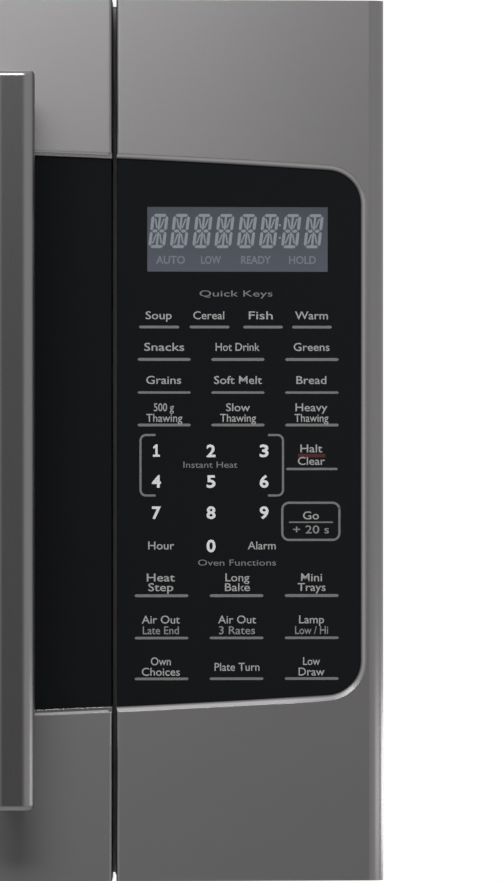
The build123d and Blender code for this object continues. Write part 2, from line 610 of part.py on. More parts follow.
BLOWER_MOTOR_HALF = 26.0
BLOWER_MOTOR_RADIUS = 32.0
BLOWER_FOOT = (20.0, 10.0)      # half sizes of the foot that stands on the housing
blower_bore = BLOWER_SHAFT + RUN_FIT
with BuildPart() as blower_motor:
    motor_start = (-BLOWER_MOTOR_HALF, BLOWER_Y, BLOWER_Z)
    rod(motor_start, "X", BLOWER_MOTOR_RADIUS, 2 * BLOWER_MOTOR_HALF)
    fillet(blower_motor.edges(), 4)
    foot_z = (BLOWER_Z - 39, BLOWER_Z - BLOWER_MOTOR_RADIUS + 4)
    block(around(0, BLOWER_FOOT[0]), around(BLOWER_Y, BLOWER_FOOT[1]), foot_z)
    rod(motor_start, "X", blower_bore, 2 * BLOWER_MOTOR_HALF, mode=Mode.SUBTRACT)
finish(blower_motor, "blower_motor")

SHAFT_HALF = 120.0
with BuildPart() as blower_shaft:
    rod((-SHAFT_HALF, BLOWER_Y, BLOWER_Z), "X", BLOWER_SHAFT, 2 * SHAFT_HALF)
finish(blower_shaft, "blower_shaft")

WHEEL_INNER = 33.0              # inner end of each wheel from the middle
WHEEL_LENGTH = 85.0
WHEEL_DISC = 1.5
WHEEL_RING = (5.0, 3.0)         # width and length of the ring that ties the blades
WHEEL_HUB = (9.0, 24.0)         # radius and length
BLADE = (6.0, 1.0)              # chord and thickness
for name, side in (("left", -1), ("right", 1)):
    inner_end = Plane(origin=(side * WHEEL_INNER, BLOWER_Y, BLOWER_Z), x_dir=(0, 1, 0), z_dir=(side, 0, 0))
    with BuildPart() as blower_wheel:
        with BuildSketch(inner_end):
            Circle(BLOWER_WHEEL)
            Circle(BLOWER_SHAFT, mode=Mode.SUBTRACT)
        extrude(amount=WHEEL_DISC)
        with BuildSketch(inner_end) as hub_ring:
            Circle(WHEEL_HUB[0])
            Circle(BLOWER_SHAFT, mode=Mode.SUBTRACT)
        extrude(hub_ring.sketch, amount=WHEEL_HUB[1])
        with BuildSketch(inner_end.offset(WHEEL_LENGTH - WHEEL_RING[1])) as end_ring:
            Circle(BLOWER_WHEEL)
            Circle(BLOWER_WHEEL - WHEEL_RING[0], mode=Mode.SUBTRACT)
        extrude(end_ring.sketch, amount=WHEEL_RING[1])
        with BuildSketch(inner_end.offset(WHEEL_DISC - 0.5)) as blades:
            with PolarLocations(BLOWER_WHEEL - 3.6, BLOWER_BLADES):
                Rectangle(*BLADE, rotation=35)
        extrude(blades.sketch, amount=WHEEL_LENGTH - WHEEL_RING[1])
    finish(blower_wheel, f"blower_wheel_{name}")

# ---------------------------------------------------------------------------
# Microwave source and its cooling, on a shelf right of the cavity
# ---------------------------------------------------------------------------
SHELF_Y = (CASE_FRONT + SHEET, CASE_BACK - 2)
SHELF_LIP = 12.0
shelf_left = LINER_RIGHT + 0.5
with BuildPart() as component_shelf:
    lip_y = (SHELF_Y[1] - SHEET, SHELF_Y[1])
    block((shelf_left, CASE_HALF - SHEET), SHELF_Y, (SHELF_Z - SHEET, SHELF_Z))
    block((shelf_left, CASE_HALF - 20), lip_y, (SHELF_Z - SHEET, SHELF_Z + SHELF_LIP))
finish(component_shelf, "component_shelf")

GUIDE_X = (LINER_RIGHT, LINER_RIGHT + 35)
GUIDE_HALF_Y = 50.0
GUIDE_HALF_Z = 45.0
ANTENNA = 8.0                   # radius of the antenna's cap, and of the hole that it passes
ANTENNA_HOLE = 10.0
with BuildPart() as waveguide:
    guide_space = (GUIDE_X[0], GUIDE_X[1] - SHEET)
    space_y = around(MAGNETRON_Y, GUIDE_HALF_Y - SHEET)
    space_z = around(0, GUIDE_HALF_Z - SHEET)
    block(GUIDE_X, around(MAGNETRON_Y, GUIDE_HALF_Y), around(0, GUIDE_HALF_Z))
    block(guide_space, space_y, space_z, mode=Mode.SUBTRACT)
    rod((guide_space[1], MAGNETRON_Y, 0), "X", ANTENNA_HOLE, SHEET, mode=Mode.SUBTRACT)
finish(waveguide, "waveguide")

YOKE_LENGTH = 58.0
YOKE_HALF_Y = 42.0
YOKE_HALF_Z = 40.0
YOKE_SHEET = 1.5
ANODE = 20.0
FINS = 9
FIN_PITCH = 5.0
FIN_START = 9.0
FIN_THICK = 0.8
FIN_HALF = (41.0, 34.0)         # half sizes on Y and on Z
FILTER_BOX = (30.0, 24.0, 28.0)  # length, and half sizes on Y and on Z
antenna_x = GUIDE_X[0] + 12
yoke_x = (GUIDE_X[1], GUIDE_X[1] + YOKE_LENGTH)
with BuildPart() as magnetron:
    yoke_z = around(0, YOKE_HALF_Z)
    yoke_space = (yoke_x[0] + YOKE_SHEET, yoke_x[1] - YOKE_SHEET)
    block(yoke_x, around(MAGNETRON_Y, YOKE_HALF_Y), yoke_z)
    block(yoke_space, around(MAGNETRON_Y, YOKE_HALF_Y - YOKE_SHEET), yoke_z, mode=Mode.SUBTRACT)
    rod((yoke_x[0], MAGNETRON_Y, 0), "X", ANODE, YOKE_LENGTH)
    for fin in range(FINS):
        fin_x = yoke_x[0] + FIN_START + fin * FIN_PITCH
        block((fin_x, fin_x + FIN_THICK), around(MAGNETRON_Y, FIN_HALF[0]), around(0, FIN_HALF[1]))
    rod((antenna_x, MAGNETRON_Y, 0), "X", ANTENNA, GUIDE_X[1] - antenna_x)
    box_x = (yoke_x[1], yoke_x[1] + FILTER_BOX[0])
    block(box_x, around(MAGNETRON_Y, FILTER_BOX[1]), around(0, FILTER_BOX[2]))
finish(magnetron, "magnetron")

CORE_X = (238.0, 328.0)
CORE_Y = (-142.0, -82.0)
CORE_Z = (SHELF_Z, SHELF_Z + 72)
CORE_YOKE = 15.0
LEG = 18.0
COIL_OVERHANG = 14.0
WINDOW = (CORE_X[1] - CORE_X[0] - 4 * LEG) / 2 + LEG / 2
core_middle = sum(CORE_X) / 2
window_z = (CORE_Z[0] + CORE_YOKE, CORE_Z[1] - CORE_YOKE)
with BuildPart() as transformer_core:
    block(CORE_X, CORE_Y, CORE_Z)
    for side in (-1, 1):
        window_x = sorted((core_middle + side * LEG / 2, core_middle + side * (LEG / 2 + WINDOW)))
        block(window_x, CORE_Y, window_z, mode=Mode.SUBTRACT)
finish(transformer_core, "transformer_core")

with BuildPart() as transformer_coils:
    coil_half = LEG / 2 + WINDOW
    coil_y = (CORE_Y[0] - COIL_OVERHANG, CORE_Y[1] + COIL_OVERHANG)
    block(around(core_middle, coil_half), coil_y, window_z)
    fillet(transformer_coils.edges().filter_by(Axis.Z), 10)
    block(around(core_middle, LEG / 2), CORE_Y, window_z, mode=Mode.SUBTRACT)
finish(transformer_coils, "transformer_coils")

CAPACITOR_X = (338.0, 370.0)
CAPACITOR_Y = (-140.0, -60.0)
CAPACITOR_TOP = SHELF_Z + 56
TERMINAL_REACH = 10.0
with BuildPart() as hv_capacitor:
    block(CAPACITOR_X, CAPACITOR_Y, (SHELF_Z, CAPACITOR_TOP))
    fillet(hv_capacitor.edges().filter_by(Axis.Z), 15)
    for y in around(sum(CAPACITOR_Y) / 2, 15):
        terminal_x = around(sum(CAPACITOR_X) / 2, 3)
        block(terminal_x, around(y, 0.5), (CAPACITOR_TOP, CAPACITOR_TOP + TERMINAL_REACH))
finish(hv_capacitor, "hv_capacitor")

FAN_Y = (-40.0, -14.0)
SHROUD_HALF = 60.0
SHROUD_WALL = 3.0
with BuildPart() as fan_shroud:
    plate_y = (FAN_Y[0], FAN_Y[0] + SHROUD_WALL)
    block(around(FAN_X, SHROUD_HALF), plate_y, around(FAN_Z, SHROUD_HALF))
    rod((FAN_X, FAN_Y[0], FAN_Z), "Y", FAN_BORE + SHROUD_WALL, FAN_Y[1] - FAN_Y[0])
    rod((FAN_X, FAN_Y[0], FAN_Z), "Y", FAN_BORE, FAN_Y[1] - FAN_Y[0], mode=Mode.SUBTRACT)
finish(fan_shroud, "fan_shroud")

FAN_MOTOR_Y = (-78.0, -46.0)
FAN_MOTOR_HALF = (26.0, 22.0)   # half sizes on X and on Z
BRACKET_HALF = (58.0, 6.0)
BRACKET_THICK = 2.0
with BuildPart() as fan_motor:
    bracket_y = (FAN_MOTOR_Y[1], FAN_MOTOR_Y[1] + BRACKET_THICK)
    bracket_z = around(FAN_Z, BRACKET_HALF[1])
    block(around(FAN_X, FAN_MOTOR_HALF[0]), FAN_MOTOR_Y, around(FAN_Z, FAN_MOTOR_HALF[1]))
    block(around(FAN_X, BRACKET_HALF[0]), bracket_y, bracket_z)
    for side in (-1, 1):
        leg_x = around(FAN_X + side * (BRACKET_HALF[0] - 1), 1.5)
        block(leg_x, (FAN_MOTOR_Y[1], FAN_Y[0]), bracket_z)
    bore_length = bracket_y[1] - FAN_MOTOR_Y[0]
    rod((FAN_X, FAN_MOTOR_Y[0], FAN_Z), "Y", FAN_SHAFT + RUN_FIT, bore_length, mode=Mode.SUBTRACT)
finish(fan_motor, "fan_motor")

FAN_BLADES = 5
FAN_BLADE = (38.0, 24.0, 1.6)   # reach, chord and thickness
FAN_BLADE_PITCH = 35.0
FAN_HUB_Y = (-38.0, -18.0)
FAN_HUB = 14.0
with BuildPart() as fan_wheel:
    fan_middle = (FAN_X, sum(FAN_HUB_Y) / 2, FAN_Z)
    rod((FAN_X, FAN_MOTOR_Y[0] + 2, FAN_Z), "Y", FAN_SHAFT, 50)
    rod((FAN_X, FAN_HUB_Y[0], FAN_Z), "Y", FAN_HUB, FAN_HUB_Y[1] - FAN_HUB_Y[0])
    with Locations(Plane(origin=fan_middle, x_dir=(1, 0, 0), z_dir=(0, -1, 0))):
        with PolarLocations(FAN_HUB - 2 + FAN_BLADE[0] / 2, FAN_BLADES):
            Box(*FAN_BLADE, rotation=(FAN_BLADE_PITCH, 0, 0))
finish(fan_wheel, "fan_wheel")

BULB = (10.0, 30.0)             # radius and length
LAMP_BASE_HALF = 14.0
bulb_x = LINER_RIGHT + 4
base_x = (bulb_x + BULB[1] - 3, bulb_x + BULB[1] + 19)
with BuildPart() as cavity_lamp:
    rod((bulb_x, *CAVITY_LAMP), "X", *BULB)
    fillet(cavity_lamp.edges(), 4)
    base_y = around(CAVITY_LAMP[0], LAMP_BASE_HALF)
    block(base_x, base_y, around(CAVITY_LAMP[1], LAMP_BASE_HALF))
finish(cavity_lamp, "cavity_lamp")

CUTOUTS = ((-200.0, -230.0), (60.0, -230.0))
CUTOUT = (9.0, 8.0)             # radius and height
roof = CAVITY_Z[1] + SHEET
with BuildPart() as thermal_cutouts:
    for x, y in CUTOUTS:
        rod((x, y, roof), "Z", *CUTOUT)
        block(around(x, 13), around(y, 5), (roof, roof + 2))
finish(thermal_cutouts, "thermal_cutouts")

BUSH_COLLAR = 3.0               # its height, and how far it stands out round the hole
BUSH_TAIL = 4.0
BUSH_BARB = 1.5
CORD_BORE = 6.0
with BuildPart() as cord_bush:
    tail_z = CASE_TOP - SHEET - BUSH_TAIL
    rod((CORD_X, CORD_Y, CASE_TOP - BUSH_TAIL), "Z", CORD_HOLE, BUSH_TAIL + 1)
    rod((CORD_X, CORD_Y, CASE_TOP), "Z", CORD_HOLE + BUSH_COLLAR, BUSH_COLLAR)
    rod((CORD_X, CORD_Y, tail_z), "Z", CORD_HOLE + BUSH_BARB, BUSH_TAIL)
    bore_length = CASE_TOP + BUSH_COLLAR - tail_z
    rod((CORD_X, CORD_Y, tail_z), "Z", CORD_BORE, bore_length, mode=Mode.SUBTRACT)
finish(cord_bush, "cord_bush")

# ---------------------------------------------------------------------------
# Underside: grease filters, cooktop lamps and their covers
# ---------------------------------------------------------------------------
MESH_HOLES_X = 9
MESH_HOLES_Y = 15
MESH_HOLE = 4.6
MESH_PITCH = 11.0
MESH_HALF = 52.0                # half width of the net inside its frame
MESH_THICK = 4.0
PIN_REACH = 2.0                 # pins reach this far beyond the opening
PULL_TAB = (11.0, 2.0, 8.0)     # half width, thickness and drop below the filter
for name, side in (("left", -1), ("right", 1)):
    filter_x = side * FILTER_X
    filter_front = FILTER_Y + FILTER_THICK / 2 - FILTER_LENGTH
    filter_span = around(filter_x, FILTER_WIDTH / 2)
    with BuildPart() as grease_filter:
        block(filter_span, (filter_front, FILTER_Y), around(FILTER_Z, FILTER_THICK / 2))
        rod((filter_x - FILTER_WIDTH / 2, FILTER_Y, FILTER_Z), "X", FILTER_THICK / 2, FILTER_WIDTH)
        mesh_y = (filter_front + 8, FILTER_Y - 6)
        for side_z in (-1, 1):
            recess_z = sorted((FILTER_Z + side_z * FILTER_THICK / 2, FILTER_Z + side_z * MESH_THICK / 2))
            block(around(filter_x, MESH_HALF), mesh_y, recess_z, mode=Mode.SUBTRACT)
        with BuildSketch(Plane.XY.offset(FILTER_Z - MESH_THICK / 2)) as mesh:
            with Locations((filter_x, sum(mesh_y) / 2)):
                with GridLocations(MESH_PITCH, MESH_PITCH, MESH_HOLES_X, MESH_HOLES_Y):
                    RegularPolygon(MESH_HOLE, 6)
        extrude(mesh.sketch, amount=MESH_THICK, mode=Mode.SUBTRACT)
        pin_half = FILTER_APERTURE + PIN_REACH
        rod((filter_x - pin_half, FILTER_Y, FILTER_Z), "X", FILTER_PIN, 2 * pin_half)
        tab_y = (filter_front + 5, filter_front + 5 + PULL_TAB[1])
        tab_z = (FILTER_Z - FILTER_THICK / 2 - PULL_TAB[2], FILTER_Z - FILTER_THICK / 2 + 1)
        block(around(filter_x, PULL_TAB[0]), tab_y, tab_z)
    finish(grease_filter, f"grease_filter_{name}")

LENS_RIM = 5.0
for name, side in (("left", -1), ("right", 1)):
    lamp_x = side * LAMP_X
    with BuildPart() as lamp_cover:
        cover_y = (LAMP_Y + LAMP_THICK / 2 - LAMP_LENGTH, LAMP_Y)
        block(around(lamp_x, LAMP_WIDTH / 2), cover_y, around(LAMP_Z, LAMP_THICK / 2))
        rod((lamp_x - LAMP_WIDTH / 2, LAMP_Y, LAMP_Z), "X", LAMP_THICK / 2, LAMP_WIDTH)
        lens_space = (cover_y[0] + LENS_RIM, cover_y[1] - LENS_RIM)
        lens_z = (LAMP_Z + 0.5, LAMP_Z + LAMP_THICK / 2)
        block(around(lamp_x, LAMP_WIDTH / 2 - LENS_RIM), lens_space, lens_z, mode=Mode.SUBTRACT)
        pin_half = LAMP_APERTURE + PIN_REACH
        rod((lamp_x - pin_half, LAMP_Y, LAMP_Z), "X", LAMP_PIN, 2 * pin_half)
    finish(lamp_cover, f"lamp_cover_{name}")

HOUSING_HALF = 62.0
HOUSING_Y = (-328.0, -254.0)
HOUSING_Z = (base_sheet[1], -168.0)
with BuildPart() as lamp_housings:
    space_y = (HOUSING_Y[0] + SHEET, HOUSING_Y[1] - SHEET)
    space_z = (HOUSING_Z[0], HOUSING_Z[1] - SHEET)
    for side in (-1, 1):
        lamp_x = side * LAMP_X
        block(around(lamp_x, HOUSING_HALF), HOUSING_Y, HOUSING_Z)
        block(around(lamp_x, HOUSING_HALF - SHEET), space_y, space_z, mode=Mode.SUBTRACT)
finish(lamp_housings, "lamp_housings")

HOB_BULB = (12.0, 50.0)         # radius and length
HOB_BULB_Y = -290.0
HOB_BULB_Z = -184.0
HOB_BASE_HALF = 13.0
with BuildPart() as cooktop_lamps:
    for side in (-1, 1):
        bulb_x = side * LAMP_X - 38
        bulb_end = bulb_x + HOB_BULB[1]
        rod((bulb_x, HOB_BULB_Y, HOB_BULB_Z), "X", *HOB_BULB)
        bulb_rims = cooktop_lamps.edges().filter_by(GeomType.CIRCLE)
        fillet(bulb_rims.filter_by_position(Axis.X, bulb_x - 1, bulb_end + 1), 5)
        base_y = around(HOB_BULB_Y, HOB_BASE_HALF)
        block((bulb_end, bulb_end + 28), base_y, around(HOB_BULB_Z, HOB_BASE_HALF))
finish(cooktop_lamps, "cooktop_lamps")

# ---------------------------------------------------------------------------
# Control panel
# ---------------------------------------------------------------------------
panel_span = (SEAM_X, HALF_WIDTH)
FRAME_BACK = CASE_FRONT - SHEET


def rounded_plan(x, inset, back_y, corner, outer_side, seam_corner=0.0):
    """Plan of the front: bowed face, rounded outer edge, flat back. The seam's edge may be rounded too."""
    centre = (x[0] + x[1]) / 2
    with BuildSketch(Plane.XY.offset(-HALF_HEIGHT)) as plan:
        with BuildLine():
            front = [(at, bow_y(at, inset)) for at in (x[0], centre, x[1])]
            ThreePointArc(*front)
            Polyline(front[2], (x[1], back_y), (x[0], back_y), front[0])
        make_face()
        outer = plan.vertices().group_by(Axis.X)[outer_side].sort_by(Axis.Y)[0]
        fillet(outer, corner)
        if seam_corner:
            inner = plan.vertices().group_by(Axis.X)[-1 - outer_side].sort_by(Axis.Y)[0]
            fillet(inner, seam_corner)
    return plan.sketch


glass_back = GLASS_INSET + GLASS_THICK
GLASS_PLAY = 0.4                # between the glass and what stands round it


def cut_glass_seat(x):
    """Cut the folded edge beside the seam, so that the glass can reach the seam."""
    low = band_edge(SEAM_X, BAND_BOTTOM, GLASS_MARGIN + GLASS_PLAY)
    high = band_edge(SEAM_X, BAND_TOP, GLASS_MARGIN + GLASS_PLAY)
    bow_slab(x, (SKIN, glass_back + GLASS_PLAY), (low, high), mode=Mode.SUBTRACT)


with BuildPart() as panel_frame:
    extrude(rounded_plan(panel_span, 0, FRAME_BACK, EDGE_ROUND, -1), amount=HEIGHT)
    inner_span = (SEAM_X + SKIN, HALF_WIDTH - SKIN)
    inner = rounded_plan(inner_span, SKIN, FRAME_BACK, EDGE_ROUND - SKIN, -1)
    with Locations((0, 0, SKIN)):
        add(extrude(inner, amount=HEIGHT - 2 * SKIN, mode=Mode.PRIVATE), mode=Mode.SUBTRACT)
    band = band_outline((SEAM_X - 20, BAND_RIGHT), 0, BAND_RIGHT)
    extrude(band, amount=-30, mode=Mode.SUBTRACT)
    bevel_band(panel_frame, (SEAM_X + 5, BAND_RIGHT + 1))
    cut_glass_seat((SEAM_X - 1, SEAM_X + SKIN + 0.1))
    seam_edges = panel_frame.edges().filter_by(Axis.Z).group_by(Axis.X)[0].group_by(Axis.Y)[0]
    fillet(seam_edges, SEAM_ROUND)
finish(panel_frame, "panel_frame")

with BuildPart() as control_glass:
    glass_span = (SEAM_X + GLASS_PLAY, BAND_RIGHT + GLASS_MARGIN)
    bow_slab(glass_span, (GLASS_INSET, glass_back), (-HALF_HEIGHT, HALF_HEIGHT))
    band = band_outline((SEAM_X - 20, BAND_RIGHT + GLASS_MARGIN), GLASS_MARGIN, BAND_RIGHT + GLASS_MARGIN)
    extrude(band, amount=-40, mode=Mode.INTERSECT)
finish(control_glass, "control_glass")

DISPLAY_X = (268.3, 353.2)
DISPLAY_Z = (79.4, 109.8)
TOUCH_Z = (-116.0, 72.0)
DISPLAY_LIP = 3.0               # window in the chassis beyond the display
KEYS_WINDOW_Z = (-90.0, 50.0)   # window for the touch film's tail
FILM_THICK = 0.3
chassis_front = glass_back + FILM_THICK + 0.2
CHASSIS_WALL = 2.2
CHASSIS_DEPTH = 24.0
chassis_span = (SEAM_X + SKIN + 0.8, HALF_WIDTH - SKIN - 1.2)

with BuildPart() as touch_film:
    film_span = (SEAM_X + 8, BAND_RIGHT - 6)
    bow_slab(film_span, (glass_back + 0.1, glass_back + 0.1 + FILM_THICK), TOUCH_Z)
finish(touch_film, "touch_film")

with BuildPart() as control_chassis:
    chassis_half = HALF_HEIGHT - SKIN - 2
    hollow_span = (chassis_span[0] + CHASSIS_WALL, chassis_span[1] - CHASSIS_WALL)
    chassis_back = chassis_front + CHASSIS_DEPTH
    bow_slab(chassis_span, (chassis_front, chassis_back), around(0, chassis_half))
    hollow_insets = (chassis_front + CHASSIS_WALL, chassis_back + 2)
    bow_slab(hollow_span, hollow_insets, around(0, chassis_half - CHASSIS_WALL), mode=Mode.SUBTRACT)
    window_x = (DISPLAY_X[0] - DISPLAY_LIP, DISPLAY_X[1] + DISPLAY_LIP)
    window_y = (bow_y(SEAM_X), bow_y(SEAM_X) + CHASSIS_DEPTH)
    display_window_z = (DISPLAY_Z[0] - DISPLAY_LIP, DISPLAY_Z[1] + DISPLAY_LIP)
    block(window_x, window_y, display_window_z, mode=Mode.SUBTRACT)
    block((SEAM_X + 20, BAND_RIGHT - 20), window_y, KEYS_WINDOW_Z, mode=Mode.SUBTRACT)
finish(control_chassis, "control_chassis")


def panel_plane(inset, z=0.0):
    """Plane that faces out of the control panel, inset behind its middle, tilted with the bow."""
    outward = (math.sin(PANEL_TILT), -math.cos(PANEL_TILT), 0)
    along = (math.cos(PANEL_TILT), math.sin(PANEL_TILT), 0)
    return Plane(origin=(PANEL_X, bow_y(PANEL_X, inset), z), x_dir=along, z_dir=outward)


display_z = sum(DISPLAY_Z) / 2
display_shift = (sum(DISPLAY_X) / 2 - PANEL_X) / math.cos(PANEL_TILT)
DISPLAY_SIZE = (86.0, 32.0)
DISPLAY_THICK = 7.0
DISPLAY_INSET = glass_back + 0.7
BOARD_THICK = 1.6
with BuildPart() as display_module:
    with BuildSketch(panel_plane(DISPLAY_INSET, display_z)):
        with Locations((display_shift, 0)):
            RectangleRounded(*DISPLAY_SIZE, 1)
    extrude(amount=-DISPLAY_THICK)
    with BuildSketch(panel_plane(DISPLAY_INSET + DISPLAY_THICK, display_z)) as display_board:
        with Locations((display_shift, 0)):
            Rectangle(DISPLAY_SIZE[0], DISPLAY_SIZE[1] + 4)
    extrude(display_board.sketch, amount=-BOARD_THICK)
finish(display_module, "display_module")

BOARD_INSET = 19.0
BOARD_SIZE = (100.0, 250.0)
BOARD_HOLES = (90.0, 236.0)
BOARD_HOLE = 1.8
RELAY = (18.0, 22.0, 15.0)      # width, height and how far it stands off the board
RELAYS = ((-24, 80), (-24, 50), (-24, 20))
SUPPLY = (38.0, 34.0, 13.0)
SUPPLY_PLACE = (14, -70)
CAN = (7.0, 14.0)               # radius and height of a board capacitor
CANS = ((-20, -60), (-20, -82), (26, 60))
board_back = panel_plane(BOARD_INSET + BOARD_THICK)
with BuildPart() as control_board:
    with BuildSketch(panel_plane(BOARD_INSET)):
        Rectangle(*BOARD_SIZE)
        with GridLocations(*BOARD_HOLES, 2, 2):
            Circle(BOARD_HOLE, mode=Mode.SUBTRACT)
    extrude(amount=-BOARD_THICK)
    with BuildSketch(board_back) as relays:
        with Locations(*RELAYS):
            Rectangle(*RELAY[:2])
    extrude(relays.sketch, amount=-RELAY[2])
    with BuildSketch(board_back) as supply:
        with Locations(SUPPLY_PLACE):
            Rectangle(*SUPPLY[:2])
    extrude(supply.sketch, amount=-SUPPLY[2])
    with BuildSketch(board_back) as cans:
        with Locations(*CANS):
            Circle(CAN[0])
    extrude(cans.sketch, amount=-CAN[1])
finish(control_board, "control_board")

# ---------------------------------------------------------------------------
# Latch board with its interlock switches
# ---------------------------------------------------------------------------
LEDGE_Y = (-341.0, -331.0)
WEB_X = (206.0, 210.0)
WEB_Y = (CASE_FRONT, -315.0)
LATCH_BOARD_Z = (-100.0, 84.0)
LATCH_FLANGE = (CASE_FRONT, CASE_FRONT + 2)
LEDGE_DROP = (14.0, 5.5)        # foot and top of a ledge below its hook
SWITCH_X = (210.0, 220.0)
SWITCH_Y = (-338.0, -318.0)
SWITCH_Z = (HOOK_Z[0] + 22, HOOK_Z[1] + 22, HOOK_Z[1] - 26)
with BuildPart() as latch_board:
    block(WEB_X, WEB_Y, LATCH_BOARD_Z)
    block((WEB_X[0], 250), LATCH_FLANGE, LATCH_BOARD_Z)
    for height in HOOK_Z:
        slot_x = around(LATCH_X, LATCH_SLOT[0] / 2)
        slot_z = around(height + LATCH_SLOT_RISE, LATCH_SLOT[1] / 2)
        block(slot_x, LATCH_FLANGE, slot_z, mode=Mode.SUBTRACT)
        ledge_z = (height - LEDGE_DROP[0], height - LEDGE_DROP[1])
        block((WEB_X[1], LATCH_X + 8), LEDGE_Y, ledge_z)
finish(latch_board, "latch_board")

with BuildPart() as interlock_switches:
    for height in SWITCH_Z:
        block(SWITCH_X, SWITCH_Y, around(height, 5.5))
        plunger_y = (SWITCH_Y[1] - 1, SWITCH_Y[1] + 4)
        block(around(sum(SWITCH_X) / 2, 2), plunger_y, around(height, 1.5))
finish(interlock_switches, "interlock_switches")

# ---------------------------------------------------------------------------
# Door
# ---------------------------------------------------------------------------
DOOR_X = (-HALF_WIDTH, SEAM_X - SEAM_GAP)
HINGE_PLAY = 1.5
SCREW_PLAY = 0.2
hinge_slot_z = (HINGE_PLATE_Z - HINGE_PLAY, HINGE_PLATE_Z + HINGE_PLATE + HINGE_PLAY)

with BuildPart() as door_skin:
    extrude(rounded_plan(DOOR_X, 0, DOOR_BACK, EDGE_ROUND, 0, SEAM_ROUND), amount=HEIGHT)
    inner_span = (DOOR_X[0] + SKIN, DOOR_X[1] - SKIN)
    inner = rounded_plan(inner_span, SKIN, DOOR_BACK, EDGE_ROUND - SKIN, 0)
    with Locations((0, 0, SKIN)):
        add(extrude(inner, amount=HEIGHT - 2 * SKIN, mode=Mode.PRIVATE), mode=Mode.SUBTRACT)
    with BuildPart(mode=Mode.PRIVATE) as swing_space:
        block((DOOR_X[0] - 1, HINGE_X), (HINGE_Y, DOOR_BACK + 1), around(0, HALF_HEIGHT + 1))
        rod((HINGE_X, HINGE_Y, -HALF_HEIGHT - 1), "Z", HINGE_SWEEP, HEIGHT + 2, mode=Mode.SUBTRACT)
    add(swing_space.part, mode=Mode.SUBTRACT)
    for side in (-1, 1):
        slot_z = sorted((side * hinge_slot_z[0], side * hinge_slot_z[1]))
        block((DOOR_X[0] - 1, HINGE_X - 9), (HINGE_Y - 11, DOOR_BACK + 1), slot_z, mode=Mode.SUBTRACT)
    band = band_outline((BAND_LEFT, SEAM_X + 20), 0, BAND_LEFT)
    extrude(band, amount=-27, mode=Mode.SUBTRACT)
    with BuildPart(mode=Mode.PRIVATE) as rim_step:
        bow_slab((BAND_LEFT - 20, SEAM_X + 10), (-2, BEVEL_DEPTH / 2), around(0, HALF_HEIGHT))
        rim_left = BAND_LEFT - BEVEL_WIDTH
        band = band_outline((rim_left, SEAM_X + 20), BEVEL_WIDTH, rim_left)
        extrude(band, amount=-40, mode=Mode.INTERSECT)
    add(rim_step.part, mode=Mode.SUBTRACT)
    cut_glass_seat((DOOR_X[1] - SKIN - 0.1, DOOR_X[1] + 1))
    for side in (-1, 1):
        screw_hole = HANDLE_SCREW + SCREW_PLAY
        rod((HANDLE_X, FRONT_Y, side * POST_Z), "Y", screw_hole, 20, mode=Mode.SUBTRACT)
finish(door_skin, "door_skin")

with BuildPart() as door_glass:
    glass_span = (BAND_LEFT - GLASS_MARGIN, DOOR_X[1] - GLASS_PLAY)
    bow_slab(glass_span, (GLASS_INSET, glass_back), (-HALF_HEIGHT, HALF_HEIGHT))
    band = band_outline((BAND_LEFT - GLASS_MARGIN, SEAM_X + 20), GLASS_MARGIN, BAND_LEFT - GLASS_MARGIN)
    extrude(band, amount=-40, mode=Mode.INTERSECT)
finish(door_glass, "door_glass")

PAN_Z = 193.5
PAN_FRONT = -376.0              # how far its flanges reach towards the glass
PAN_RIM_FRONT = -366.0
SPRING_Z = (72.0, 106.0)
SCREEN_X = (CAVITY_X[0] + 32, CAVITY_X[1] - 32)
SCREEN_Z = (CAVITY_Z[0] + 30, CAVITY_Z[1] - 30)
SCREEN_LAP = 6.0
SCREEN_THICK = 0.8
HINGE_LUG_Z = (182.0, 192.0)
HOOK_SLOT = (4.0, 11.0)         # half sizes of the slots for the hooks
flange_radius = HINGE_SWEEP - 2.6
pan_right = DOOR_X[1] - SKIN - 0.6

